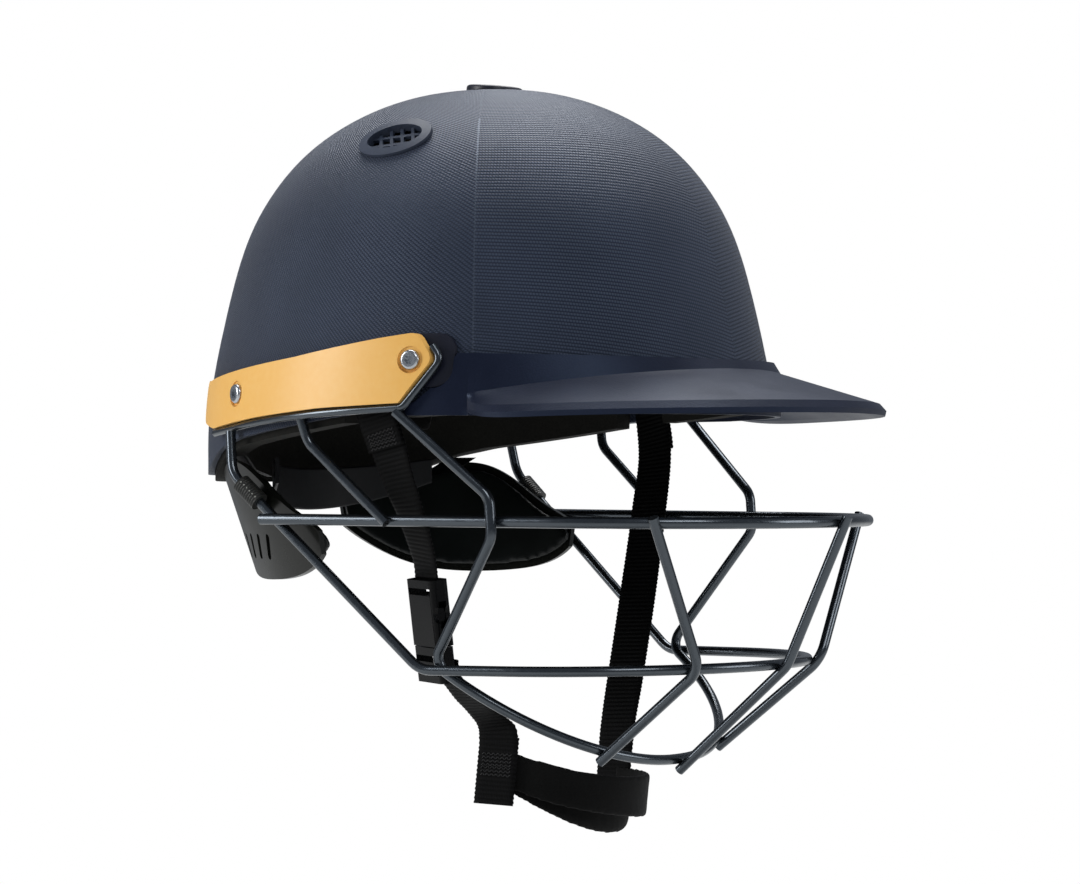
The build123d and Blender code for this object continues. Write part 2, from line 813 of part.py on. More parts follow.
def chin_weld(x):
    """Place on the chin wire's front stretch, with the way out from it."""
    slope = Vector(0, chin_front[1] - chin_heel[1], chin_front[2] - chin_heel[2])
    run = slope.length
    ahead = slope.normalized()
    leg = math.atan2(chin_heel[0] - chin_front[0], run)
    back = chin_front_radius * math.tan((math.pi / 2 - leg) / 2)
    cx = chin_front[0] - back
    if abs(x) <= cx:
        along_run = run
    else:
        along_run = run - chin_front_radius + math.sqrt(chin_front_radius ** 2 - (abs(x) - cx) ** 2)
    spot = Vector(x, chin_heel[1], chin_heel[2]) + ahead * along_run
    return spot


def make_front_wire(angle, lower_angle, chin_x):
    """One wire from the main bar, over the lower wire, back to the chin wire."""
    top_away = lap(bar_diameter, wire_diameter)
    mid_away = lap(wire_diameter, wire_diameter)
    over_bar = nose_point(bar_front, bar_front_radius, bar_rear, top_away, angle, bar_level)
    knee = nose_point(
        lower_front, lower_front_radius, lower_heel, mid_away * 1.3, lower_angle, front_wire_level
    )
    weld = chin_weld(-chin_x)
    toward = (weld - Vector(*knee)).normalized()
    out = Vector(0, -1, -1) - toward * Vector(0, -1, -1).dot(toward)
    foot = weld + out.normalized() * mid_away
    run = (foot - Vector(*knee)).normalized()
    end = foot + run * wire_end_over
    rise = (Vector(*over_bar) - Vector(*knee)).normalized()
    start = Vector(*over_bar) + rise * wire_end_over
    return wire([start, Vector(*knee), end], [front_wire_radius], wire_diameter)


# Neck guards

def guard_half(level):
    share = (guard_top_level - level) / guard_height
    return tuple(t + (b - t) * share for t, b in zip(guard_top_half, guard_bottom_half))


def guard_layer(start, thickness, shrink=0.0):
    """Curved wing, from a depth under the outer face, as deep as its thickness."""
    sections = []
    for angle, top_share, foot_share in guard_shares:
        top = guard_top_level - top_share * guard_height - shrink
        foot = guard_top_level - foot_share * guard_height + shrink
        middle = (top + foot) / 2
        out = ellipse_out(guard_half(middle), angle)
        base = ellipse_point(guard_half(middle), guard_centre_y, angle, 0)
        points = []
        inner = []
        for step in range(4):
            level = top + (foot - top) * step / 3
            spot = ellipse_point(guard_half(level), guard_centre_y, angle, 0)
            spot = base + out * (spot - base).dot(out) + Vector(0, 0, level)
            points.append(spot - out * start)
            inner.append(spot - out * (start + thickness))
        sections.append(make_face(Polyline(*(points + inner[::-1]), close=True)))
    return loft(sections)


def guard_slot(angle, tilt):
    """Slanted slot through the guard's lower half."""
    high, low = [guard_top_level - share * guard_height for share in guard_slot_shares]
    half = guard_half((low + high) / 2)
    centre = ellipse_point(half, guard_centre_y, angle, (low + high) / 2)
    out = ellipse_out(half, angle)
    plane = Plane(origin=centre, x_dir=Vector(0, 0, 1), z_dir=out)
    slot = plane * Rot(0, 0, tilt) * SlotOverall(high - low, guard_slot_width)
    return extrude(slot, guard_wall * 1.3, both=True)


def make_guard():
    slots = [guard_slot(angle, guard_slot_tilt) for angle in guard_slot_angles]
    return guard_layer(0.0, guard_wall) - slots


def make_guard_lining():
    return guard_layer(guard_wall + soft_gap, guard_lining, shrink=guard_wall)


def hinge_line():
    """Two points on the lower wire's straight run, where a guard hangs."""
    top = Vector(*flipped(lower_knee))
    foot = Vector(*flipped(lower_heel))
    way = (foot - top).normalized()
    start = top + way * (foot - top).length * clip_start_share
    return start, way


def make_guard_clip():
    """Sleeve that turns on the wire, with a flap on the guard's outer face."""
    start, way = hinge_line()
    bore = wire_diameter / 2 + pin_gap
    sleeve = extrude(Plane(origin=start, z_dir=way) * Circle(bore + clip_sleeve_wall), clip_sleeve_length)
    middle = start + way * (clip_sleeve_length / 2)
    half = guard_half(middle.Z)
    target = ellipse_point(half, guard_centre_y, clip_flap_angle, middle.Z)
    target = target + ellipse_out(half, clip_flap_angle) * (soft_gap + clip_flap_wall / 2)
    across = target - middle
    across = (across - way * across.dot(way))
    plane = Plane(origin=middle + across / 2, x_dir=across.normalized(), z_dir=across.cross(way))
    flap = plane * Box(across.length + clip_flap_wall * 2, clip_sleeve_length, clip_flap_wall)
    body = sleeve + flap
    body -= extrude(Plane(origin=start - way * cut_overrun, z_dir=way) * Circle(bore), 3 * cut_overrun)
    return body - guard_keepout()


def guard_keepout():
    """The guard's own room, for trimming what lies on its outer face."""
    sections = []
    for level in (guard_top_level + cut_overrun, guard_top_level - guard_height - cut_overrun):
        half = guard_half(level)
        outline = Ellipse(half[0] + soft_gap, half[1] + soft_gap)
        sections.append(Plane(origin=(0, guard_centre_y, level)) * outline)
    return loft(sections)


# Nape cradle

def make_cradle():
    """Plastic band behind the head, deeper in the middle."""
    sections = []
    count = 9
    for i in range(count):
        t = 2 * i / (count - 1) - 1
        sag = 1 - t * t
        level = cradle_end_level + (cradle_level - cradle_end_level) * sag
        tall = cradle_end_height + (cradle_height - cradle_end_height) * sag
        spot = ellipse_point(cradle_half, cradle_centre_y, t * cradle_sweep, level)
        out = ellipse_out(cradle_half, t * cradle_sweep)
        sections.append(upright_section(spot, out, cradle_wall, tall))
    return loft(sections)


def make_hanger():
    """Strip from the liner's lower edge to the cradle's right end."""
    end = ellipse_point(cradle_half, cradle_centre_y, cradle_sweep * 0.9, cradle_end_level)
    out = ellipse_out(cradle_half, cradle_sweep * 0.9)
    end = end + out * (cradle_wall / 2 + soft_gap + hanger_wall / 2)
    rim_y = hanger_rim_shares[0] * half_length
    top = dome_point(rim_y, 0, -shell_wall - soft_gap - liner_thickness / 2)
    rim_out = dome_normal(rim_y, 0)
    rim_z = -hanger_rim_shares[1] * rear_rim_drop - liner_overhang - soft_gap * 6
    top = Vector(top.X, top.Y, rim_z)
    flat = out.cross(Vector(0, 0, 1))
    plans = []
    for spot, way in ((top, rim_out), (top + (end - top) * 0.45 - Vector(0, 0, hanger_width / 4), out)):
        side = Vector(0, 0, 1).cross(way)
        plane = Plane(origin=spot, x_dir=side, z_dir=(0, 0, 1))
        plans.append(plane * RectangleRounded(hanger_width, hanger_wall, hanger_wall * 0.4))
    arm_plane = Plane(origin=end - Vector(0, 0, cradle_end_height / 4), x_dir=flat, z_dir=(0, 0, 1))
    plans.append(arm_plane * RectangleRounded(hanger_width, hanger_wall, hanger_wall * 0.4))
    return loft(plans, ruled=True)


# Chin strap

def ribbon(stations, width=webbing_width, wall=webbing_wall):
    """Webbing through stations of place, turn about the vertical and twist side."""
    sections = []
    spots = [Vector(*p) for p, _ in stations]
    for i, (p, turn) in enumerate(stations):
        before = spots[max(i - 1, 0)]
        after = spots[min(i + 1, len(spots) - 1)]
        way = (after - before).normalized()
        angle = math.radians(turn)
        across = Vector(-math.sin(angle), -math.cos(angle), 0)
        plane = Plane(origin=p, x_dir=across, z_dir=way)
        sections.append(plane * RectangleRounded(width, wall, wall * 0.4))
    return loft(sections)


def strap_seat(z):
    """Place of the right strap's middle against the shell's inner face, at a level."""
    face = dome_point(anchor_y, z, -shell_wall).X
    return Vector(face + soft_gap + strap_sag_room + webbing_wall / 2, anchor_y, z)


def strap_seat_turn():
    """Turn that lays the webbing along the shell, in degrees."""
    out = dome_normal(anchor_y, anchor_z)
    return -math.degrees(math.atan2(abs(out.Y), abs(out.X)))


def make_anchor_rivet():
    """Pin in the shell wall that the strap's end turns on."""
    seat = strap_seat(anchor_z)
    start = dome_point(anchor_y, anchor_z).X + plate_gap
    plane = Plane(origin=(start, anchor_y, anchor_z), z_dir=(1, 0, 0))
    length = seat.X - start + webbing_wall * 1.5 + soft_gap * 3
    pin = extrude(plane * Circle(anchor_pin_radius), length)
    head_plane = plane.offset(length)
    return pin + extrude(head_plane * Circle(anchor_head_radius), anchor_head_height)


def anchor_cut():
    """Hole for the anchor pin, through both sides of the helmet."""
    plane = Plane(origin=(0, anchor_y, anchor_z), z_dir=(1, 0, 0))
    return extrude(plane * Circle(anchor_pin_radius + pin_gap), 2 * half_width, both=True)


def between(start, end, shares):
    """Place between two others, with a share for each direction."""
    return tuple(a + (b - a) * share for a, b, share in zip(start, end, shares))


def seat_stations():
    """The right strap's upper end, flat against the shell round its anchor."""
    turn = strap_seat_turn()
    high = strap_seat(anchor_z + anchor_head_radius * 1.4)
    low = strap_seat(anchor_z - anchor_head_radius)
    return [(tuple(high), turn), (tuple(low), turn)]


def strap_right_stations():
    frame = buckle_plane()
    top = frame.origin + frame.z_dir * soft_gap
    stations = seat_stations()
    seat = strap_seat(anchor_z)
    for *shares, turn in strap_right_shares:
        stations.append((between(seat, top, shares), turn))
    stations.append((tuple(top + frame.z_dir * strap_run_in), buckle_turn))
    return stations + [(tuple(top), buckle_turn)]


def make_strap_right():
    return ribbon(strap_right_stations()) - anchor_cut()


def make_strap_end(stations, side):
    """Short doubled end of the webbing, sewn over the strap's top on the head's side."""
    inward = side * (webbing_wall + soft_gap)
    moved = []
    for (x, y, z), turn in stations:
        angle = math.radians(turn)
        moved.append(((x + inward * math.cos(angle), y - inward * math.sin(angle), z), turn))
    high = 2 * half_width
    keep = Pos(0, 0, strap_end_level) * Box(
        4 * half_width, 4 * half_length, high, align=(Align.CENTER, Align.CENTER, Align.MIN)
    )
    return (ribbon(moved, wall=webbing_wall * 0.9) & keep) - anchor_cut()


def strap_left_stations():
    """The left strap, from its anchor down to the cup."""
    stations = [(flipped(p), -turn) for p, turn in seat_stations()]
    seat = flipped(strap_seat(anchor_z))
    end, out = cup_place(left_end_angle, cup_face(left_end_angle) + soft_gap + webbing_wall / 2)
    turn = -math.degrees(math.atan2(out.Y, out.X))
    up = cup_up()
    high = end + up * cup_end_height / 2
    for *shares, station_turn in strap_left_shares:
        stations.append((between(seat, high, shares), station_turn))
    return stations + [(tuple(high), turn), (tuple(end - up * cup_end_height / 2), turn)]


def buckle_plane():
    """Frame of the buckle: X along its width, Y out of its face, Z up its length."""
    top = Vector(*buckle_top)
    up = (top - Vector(*buckle_foot)).normalized()
    angle = math.radians(buckle_turn)
    across = Vector(-math.sin(angle), -math.cos(angle), 0)
    return Plane(origin=top, x_dir=across, z_dir=up)


def rounded_block(width, depth, height, corner):
    """Upright block with rounded long edges, hanging down from its top."""
    return extrude(RectangleRounded(width, depth, corner), -height)


def make_socket():
    """Female half of the side-release buckle."""
    body = rounded_block(buckle_width, buckle_depth, socket_length, buckle_depth * 0.3)
    waist_level = -socket_length * 0.52
    for side in (-1, 1):
        notch = Pos(side * (buckle_width / 2 + socket_waist * 2.2), 0, waist_level) * Cylinder(
            socket_waist * 3.2, 2 * buckle_depth, rotation=(90, 0, 0)
        )
        body -= notch
    slot_level = -socket_slot * 1.7
    inner_width = buckle_width - 3 * socket_wall
    body -= Pos(0, 0, slot_level) * Box(inner_width, 2 * buckle_depth, socket_slot)
    cavity_top = slot_level - socket_slot / 2 - socket_wall
    cavity = rounded_block(
        buckle_width - 2 * socket_wall, buckle_depth - 2 * socket_wall, 2 * socket_length, socket_wall
    )
    body -= Pos(0, 0, cavity_top) * cavity
    window_height = socket_length * 0.40
    window = Pos(0, 0, waist_level) * Box(2 * buckle_width, buckle_depth * 0.42, window_height)
    return buckle_plane() * (body - window)


def plug_top():
    """Level of the top of the plug's body, in the buckle's frame."""
    return -socket_length - plug_gap


def make_plug():
    """Male half: a ladder lock for the webbing and the guide tongue."""
    ladder = rounded_block(buckle_width, buckle_depth * 0.9, ladder_length, buckle_depth * 0.3)
    body = Pos(0, 0, plug_top()) * ladder
    bar = ladder_length / 5
    inner_width = buckle_width - 3 * socket_wall
    for k in (1.6, 3.5):
        body -= Pos(0, 0, plug_top() - bar * k) * Box(inner_width, 2 * buckle_depth, bar * 0.9)
    tongue = Pos(0, 0, plug_top()) * Box(
        tongue_width, buckle_depth - 2 * socket_wall - 2 * plug_gap, prong_length,
        align=(Align.CENTER, Align.CENTER, Align.MIN),
    )
    return buckle_plane() * (body + tongue)


def prong_x():
    """Middle of a prong, from the buckle's middle."""
    return buckle_width / 2 - socket_wall - soft_gap - prong_width / 2


def make_prong(side):
    """Springy arm that is squeezed to let the plug go."""
    thick = buckle_depth - 2 * socket_wall - 2 * plug_gap
    foot = plug_top() + soft_gap
    arm = Pos(side * (prong_x() - prong_width * 0.15), 0, foot) * Box(
        prong_width * 0.6, thick, prong_length, align=(Align.CENTER, Align.CENTER, Align.MIN)
    )
    button = Pos(side * prong_x(), 0, foot + prong_length * 0.66) * Box(
        prong_width, thick * 0.8, prong_length * 0.34, align=(Align.CENTER, Align.CENTER, Align.MIN)
    )
    return buckle_plane() * (arm + button)


def cup_fullness(t):
    """How full the cup's section is, from 0 at its ends to 1 in the middle."""
    return 1 - abs(t) ** 2.4


def cup_face(angle):
    """Distance of the cup's outer face from its middle line."""
    t = min(abs(angle - 180) / cup_sweep, 1)
    return cup_wall * (0.45 + 0.55 * cup_fullness(t)) / 2


def patch_frame():
    """Plane in the middle of the patch on the cup: X along its width, Z up."""
    spot, out = cup_place(patch_angle, cup_face(patch_angle) + soft_gap + patch_wall / 2)
    up = cup_up()
    return Plane(origin=spot, x_dir=up.cross(out), z_dir=up)


def strap_lower_stations():
    frame = buckle_plane()
    start = frame.origin + frame.z_dir * (plug_top() - ladder_length * 0.8)
    start = start + frame.y_dir * (buckle_depth * 0.45 + 3 * soft_gap + webbing_wall / 2)
    patch = patch_frame()
    top = patch.origin + patch.z_dir * (patch_height / 2 + soft_gap)
    end_turn = math.degrees(math.atan2(-patch.x_dir.X, -patch.x_dir.Y))
    stations = [(tuple(start + frame.z_dir * strap_run_in), buckle_turn), (tuple(start), buckle_turn)]
    for *shares, turn in strap_lower_shares:
        stations.append((between(start, top, shares), turn))
    stations.append((tuple(top + patch.z_dir * strap_run_out), end_turn))
    return stations + [(tuple(top), end_turn)]


def cup_roll_place():
    return Pos(0, 0, cup_level) * Rot(0, cup_roll, 0) * Pos(0, 0, -cup_level)


def cup_up():
    """Upward direction of the rolled cup."""
    turn = math.radians(cup_roll)
    return Vector(math.sin(turn), 0, math.cos(turn))


def cup_place(angle, out_shift):
    """Place and outward direction beside the cup's middle line, after its roll."""
    half = (cup_half[0] + out_shift, cup_half[1] + out_shift)
    spot = ellipse_point(half, cup_centre_y, angle, 0)
    out = ellipse_out(half, angle)
    side = Vector(math.cos(math.radians(cup_roll)), 0, -math.sin(math.radians(cup_roll)))
    ahead = Vector(0, 1, 0)
    place = side * spot.X + ahead * spot.Y + Vector(0, 0, cup_level)
    return place, side * out.X + ahead * out.Y


def cup_section(angle, depth, height, level, out_shift=0.0):
    """Section of a band round the chin, with the cup's roll about the front axis."""
    half = (cup_half[0] + out_shift, cup_half[1] + out_shift)
    spot = ellipse_point(half, cup_centre_y, angle, level)
    out = ellipse_out(half, angle)
    return cup_roll_place() * upright_section(spot, out, depth, height)


def make_cup_band(level_shift, height, end_height, depth, out_shift, sweep, count=11):
    """Curved band under the chin, from the right strap round to the left one."""
    sections = []
    for i in range(count):
        t = 2 * i / (count - 1) - 1
        full = cup_fullness(t)
        tall = end_height + (height - end_height) * full
        thick = depth * (0.45 + 0.55 * full)
        sections.append(
            cup_section(
                180 - t * sweep, thick, tall, cup_level + level_shift * (0.4 + 0.6 * full), out_shift
            )
        )
    return loft(sections)


def make_patch():
    """Sewn end of the webbing over the cup's right end."""
    outline = patch_frame() * RectangleRounded(webbing_width, patch_wall, patch_wall * 0.4)
    return extrude(outline, patch_height / 2, both=True)


def build():
    """Every piece, by the name of its node."""
    nodes = {}
    nodes["outer_shell"] = make_shell()
    nodes["impact_liner"] = make_liner()
    side_pad = make_side_pad()
    nodes["side_pad_right"] = side_pad
    nodes["side_pad_left"] = mirrored(side_pad)
    nodes["crown_pad"] = make_crown_pad()
    nodes["brow_pad"] = make_band_pad(
        180 - brow_pad_sweep, 180 + brow_pad_sweep, brow_pad_level, brow_pad_height
    )
    nodes["nape_pad"] = make_band_pad(-nape_pad_sweep, nape_pad_sweep, nape_pad_level, nape_pad_height)
    nodes["crown_button"] = make_button()
    vent = make_vent()
    nodes["vent_grille_right"] = vent
    nodes["vent_grille_left"] = mirrored(vent)
    nodes["peak"] = make_peak()
    plate = make_plate()
    nodes["side_plate_right"] = plate
    nodes["side_plate_left"] = mirrored(plate)
    screws = [make_screw(p, n) for p, n in screw_axes()]
    nodes["plate_screws"] = screws + [mirrored(s) for s in screws]
    nuts = [make_nut(p, n) for p, n in screw_axes()]
    nodes["shell_nuts"] = nuts + [mirrored(n) for n in nuts]
    spacer = make_front_spacer()
    nodes["front_spacer_right"] = spacer
    nodes["front_spacer_left"] = mirrored(spacer)
    rear_spacer = make_rear_spacer()
    nodes["rear_spacers"] = [rear_spacer, mirrored(rear_spacer)]
    lugs = make_lugs()
    nodes["guard_lugs"] = lugs + [mirrored(lug) for lug in lugs]
    plate_wire = make_plate_wire()
    nodes["plate_wire_right"] = plate_wire
    nodes["plate_wire_left"] = mirrored(plate_wire)
    nodes["main_bar"] = make_main_bar()
    nodes["lower_wire"] = make_lower_wire()
    nodes["chin_wire"] = make_chin_wire()
    dropper = make_side_dropper()
    nodes["side_wire_right"] = dropper
    nodes["side_wire_left"] = mirrored(dropper)
    nodes["front_wire_centre"] = make_front_wire(0, 0, 0)
    outer = make_front_wire(front_wire_angle, front_wire_lower_angle, front_wire_chin_x)
    nodes["front_wire_right"] = outer
    nodes["front_wire_left"] = mirrored(outer)
    guard = make_guard()
    nodes["neck_guard_right"] = guard
    nodes["neck_guard_left"] = mirrored(guard)
    lining = make_guard_lining()
    nodes["guard_lining_right"] = lining
    nodes["guard_lining_left"] = mirrored(lining)
    clip = make_guard_clip()
    nodes["guard_clip_right"] = clip
    nodes["guard_clip_left"] = mirrored(clip)
    nodes["nape_cradle"] = make_cradle()
    hanger = make_hanger()
    nodes["cradle_hanger_right"] = hanger
    nodes["cradle_hanger_left"] = mirrored(hanger)
    rivet = make_anchor_rivet()
    nodes["anchor_rivets"] = [rivet, mirrored(rivet)]
    nodes["strap_right_upper"] = make_strap_right()
    nodes["strap_right_end"] = make_strap_end(strap_right_stations(), 1)
    nodes["strap_left"] = ribbon(strap_left_stations()) - anchor_cut()
    nodes["strap_left_end"] = make_strap_end(strap_left_stations(), -1)
    nodes["strap_right_lower"] = ribbon(strap_lower_stations())
    nodes["buckle_socket"] = make_socket()
    nodes["buckle_plug"] = make_plug()
    nodes["buckle_prong_front"] = make_prong(1)
    nodes["buckle_prong_rear"] = make_prong(-1)
    nodes["chin_cup"] = make_cup_band(0.0, cup_height, cup_end_height, cup_wall, 0.0, cup_sweep)
    nodes["chin_sling"] = make_cup_band(
        -cup_height * 0.62, sling_height, cup_end_height, sling_wall, -cup_wall - soft_gap, sling_sweep
    )
    nodes["strap_patch_right"] = make_patch()
    return nodes


def save(nodes):
    """One STEP file for each node."""
    os.makedirs("parts", exist_ok=True)
    for name, shape in nodes.items():
        if isinstance(shape, list):
            shape = Compound(children=[s for item in shape for s in item.solids()])
        export_step(shape, f"parts/{name}.step")
        print(name, len(shape.solids()), round(shape.volume))


save(build())
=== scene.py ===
import math

import bmesh
import bpy
from mathutils import Matrix, Vector, noise


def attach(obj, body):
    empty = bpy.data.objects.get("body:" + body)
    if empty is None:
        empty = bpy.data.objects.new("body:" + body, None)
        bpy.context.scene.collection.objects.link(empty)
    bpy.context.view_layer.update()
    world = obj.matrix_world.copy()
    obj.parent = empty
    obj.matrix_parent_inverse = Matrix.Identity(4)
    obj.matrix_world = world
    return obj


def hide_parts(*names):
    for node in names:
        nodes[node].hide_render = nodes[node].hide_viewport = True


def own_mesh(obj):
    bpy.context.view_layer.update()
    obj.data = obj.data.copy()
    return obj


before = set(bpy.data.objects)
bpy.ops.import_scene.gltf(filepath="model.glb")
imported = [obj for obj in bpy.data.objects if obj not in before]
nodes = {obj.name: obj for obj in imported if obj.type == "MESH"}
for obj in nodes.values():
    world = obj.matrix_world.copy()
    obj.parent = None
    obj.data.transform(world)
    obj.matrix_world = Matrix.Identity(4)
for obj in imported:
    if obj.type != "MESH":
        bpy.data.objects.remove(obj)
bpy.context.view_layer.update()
mm = 0.001
print("frame loaded:", len(nodes), "nodes")


# Colours and nodes

def linear(hexColour):
    parts = [int(hexColour[i:i + 2], 16) / 255 for i in (1, 3, 5)]
    return tuple(c / 12.92 if c <= 0.04045 else ((c + 0.055) / 1.055) ** 2.4 for c in parts) + (1.0,)


def addNode(tree, kind, settings=None, inputs=None):
    node = tree.nodes.new(kind)
    for name, value in (settings or {}).items():
        setattr(node, name, value)
    for name, value in (inputs or {}).items():
        socket = node.inputs[name]
        if isinstance(value, bpy.types.NodeSocket):
            tree.links.new(value, socket)
        else:
            socket.default_value = value
    return node


def mathNode(tree, operation, a, b=None, c=None):
    inputs = {i: v for i, v in enumerate((a, b, c)) if v is not None}
    return addNode(tree, "ShaderNodeMath", {"operation": operation}, inputs).outputs[0]


surfaceSockets = {"Roughness": "roughness", "Metallic": "metallic", "Specular IOR Level": "specular",
                  "Coat Weight": "coat", "Coat Roughness": "coatRoughness",
                  "Sheen Weight": "sheen", "Sheen Roughness": "sheenRoughness"}


def newMaterial(name, look):
    material = bpy.data.materials.new(name)
    material.use_nodes = True
    tree = material.node_tree
    shader = tree.nodes["Principled BSDF"]
    shader.inputs["Base Color"].default_value = linear(look["colour"])
    for socket, key in surfaceSockets.items():
        if key in look:
            shader.inputs[socket].default_value = look[key]
    if "tint" in look:
        shader.inputs["Specular Tint"].default_value = linear(look["tint"])
    material.diffuse_color = linear(look["colour"])
    return material, tree, shader


def objectPoint(tree):
    return addNode(tree, "ShaderNodeTexCoord").outputs["Object"]


grainDetail = 2.0
patchDetail = 4.0


def noiseOn(tree, point, scale, detail):
    inputs = {"Vector": point, "Scale": scale, "Detail": detail}
    return addNode(tree, "ShaderNodeTexNoise", None, inputs).outputs["Fac"]


def grainHeight(tree, point, grainMm):
    return noiseOn(tree, point, 1 / (grainMm * mm), grainDetail)


def waveAlong(tree, distance, stepMm):
    turned = mathNode(tree, "MULTIPLY", distance, math.pi / (stepMm * mm))
    return mathNode(tree, "ABSOLUTE", mathNode(tree, "SINE", turned))


def spreadNoise(tree, value, low, high):  # a noise lies mostly between 0.3 and 0.7
    spread = addNode(tree, "ShaderNodeMapRange", None, {
        "Value": value, "From Min": 0.3, "From Max": 0.7, "To Min": low, "To Max": high})
    return spread.outputs[0]


def colourBlend(tree, factor, first, second):
    blend = addNode(tree, "ShaderNodeMix", {"data_type": "RGBA"}, {0: factor, 6: first, 7: second})
    return blend.outputs[2]


def blendOwn(tree, share, look):
    return colourBlend(tree, share, linear(look["colour"]), linear(look["pale"]))


def roughenInto(tree, shader, value, look, spread):
    less, more = spread
    rough = spreadNoise(tree, value, look["roughness"] - less, look["roughness"] + more)
    tree.links.new(rough, shader.inputs["Roughness"])


def bumpInto(tree, shader, height, look, strength):
    bump = addNode(tree, "ShaderNodeBump", None, {
        "Height": height, "Distance": look["depthMm"] * mm, "Strength": strength})
    tree.links.new(bump.outputs["Normal"], shader.inputs["Normal"])


# Shell: navy ribbed polyester cloth bonded over ABS, which gives rows of dull dots, drawn a little coarse
clothLook = {
    # The dark colour is painted shade in the weave's valleys and the pale one a painted highlight on its rib
    # tops
    "colour": "#11151f", "pale": "#3f475a", "seam": "#8d97a6", "roughness": 0.50, "specular": 0.42,
    # The bluish specular tint colours the reflections and stands in for a bluish light: a painted tint on the
    # highlights
    "tint": "#b0c5e6", "sheen": 0.10, "sheenRoughness": 0.45,
    "rowMm": 1.7, "dotMm": 1.1, "dotShare": 0.65, "depthMm": 0.25, "bump": 0.8,
    "fuzzMm": 0.5, "fuzzShare": 0.35,
    "slubScale": 26.0, "slubLow": 0.62, "slubHigh": 0.9, "domeRadius": 0.145,
    # Seam: its pale colour is painted as a faint line all along the seam and, between the two levels, as a
    # painted highlight near the top of the dome
    "seamDegrees": 55.6, "seamWidthMm": 0.9, "seamHighlightLow": 0.100, "seamHighlightHigh": 0.132,
    "foldDepth": 0.6, "seamLineShare": 0.05, "seamHighlightShare": 0.35,
    "sideTurn": -32.0, "frontTurn": 103.0,
}


def weaveThreads(tree, across, rise, fromSeam, look):  # rows turn at the seam, dots shift from row to row
    isSide = mathNode(tree, "GREATER_THAN", fromSeam, 0.0)
    turn = mathNode(tree, "MULTIPLY_ADD", isSide, math.radians(look["sideTurn"] - look["frontTurn"]),
                    math.radians(look["frontTurn"]))
    cosTurn = mathNode(tree, "COSINE", turn)
    sinTurn = mathNode(tree, "SINE", turn)
    rows = mathNode(tree, "ADD", mathNode(tree, "MULTIPLY", across, cosTurn),
                    mathNode(tree, "MULTIPLY", rise, sinTurn))
    along = mathNode(tree, "SUBTRACT", mathNode(tree, "MULTIPLY", rise, cosTurn),
                     mathNode(tree, "MULTIPLY", across, sinTurn))
    rowStep = mathNode(tree, "MULTIPLY", rows, math.pi / (look["rowMm"] * mm))
    rowWave = mathNode(tree, "ABSOLUTE", mathNode(tree, "SINE", rowStep))
    rowCount = mathNode(tree, "FLOOR", mathNode(tree, "DIVIDE", rowStep, math.pi))
    shift = mathNode(tree, "MULTIPLY", rowCount, math.pi / 2)
    dotStep = mathNode(tree, "MULTIPLY_ADD", along, math.pi / (look["dotMm"] * mm), shift)
    dotWave = mathNode(tree, "ABSOLUTE", mathNode(tree, "SINE", dotStep))
    dots = mathNode(tree, "MULTIPLY_ADD", dotWave, look["dotShare"], 1 - look["dotShare"])
    return mathNode(tree, "MULTIPLY", rowWave, dots)


def makeShellCloth(look):
    material, tree, shader = newMaterial("wovenShellCloth", look)
    point = objectPoint(tree)
    x, y, z = addNode(tree, "ShaderNodeSeparateXYZ", None, {0: point}).outputs
    side = mathNode(tree, "ABSOLUTE", x)
    azimuth = mathNode(tree, "ARCTAN2", side, mathNode(tree, "MULTIPLY", y, -1.0))
    squares = mathNode(tree, "ADD", mathNode(tree, "MULTIPLY", x, x), mathNode(tree, "MULTIPLY", y, y))
    reach = mathNode(tree, "SQRT", squares)
    across = mathNode(tree, "MULTIPLY", azimuth, reach)
    rise = mathNode(tree, "MULTIPLY", mathNode(tree, "ARCTAN2", z, reach), look["domeRadius"])
    fromSeam = mathNode(tree, "SUBTRACT", azimuth, math.radians(look["seamDegrees"]))
    threads = weaveThreads(tree, across, rise, fromSeam, look)
    fuzz = grainHeight(tree, point, look["fuzzMm"])
    height = mathNode(tree, "MULTIPLY_ADD", fuzz, look["fuzzShare"], threads)
    away = mathNode(tree, "MULTIPLY", mathNode(tree, "ABSOLUTE", fromSeam), reach)
    fold = mathNode(tree, "LESS_THAN", away, look["seamWidthMm"] * mm)
    height = mathNode(tree, "MULTIPLY_ADD", fold, -look["foldDepth"], height)
    slubs = noiseOn(tree, point, look["slubScale"], patchDetail)
    patchy = spreadNoise(tree, slubs, look["slubLow"], look["slubHigh"])
    # Colour: the rib tops are painted paler and the valleys darker, painted light and shade on the weave, in
    # random slub patches
    cloth = blendOwn(tree, mathNode(tree, "MULTIPLY", threads, patchy), look)
    # Painted highlight on the seam: a faint pale line all along it, much paler in a height band near the top
    seamLine = mathNode(tree, "LESS_THAN", away, look["seamWidthMm"] * mm / 2)
    upper = addNode(tree, "ShaderNodeMapRange", None, {
        "Value": z, "From Min": look["seamHighlightLow"], "From Max": look["seamHighlightHigh"], "To Min": 0.0, "To Max": 1.0})
    clear = mathNode(tree, "MULTIPLY", upper.outputs[0], mathNode(tree, "LESS_THAN", z, look["seamHighlightHigh"]))
    strength = mathNode(tree, "MULTIPLY_ADD", clear, look["seamHighlightShare"], look["seamLineShare"])
    seamLineHighlightShare = mathNode(tree, "MULTIPLY", seamLine, strength)
    tree.links.new(colourBlend(tree, seamLineHighlightShare, cloth, linear(look["seam"])), shader.inputs["Base Color"])
    bumpInto(tree, shader, height, look, look["bump"])
    return material


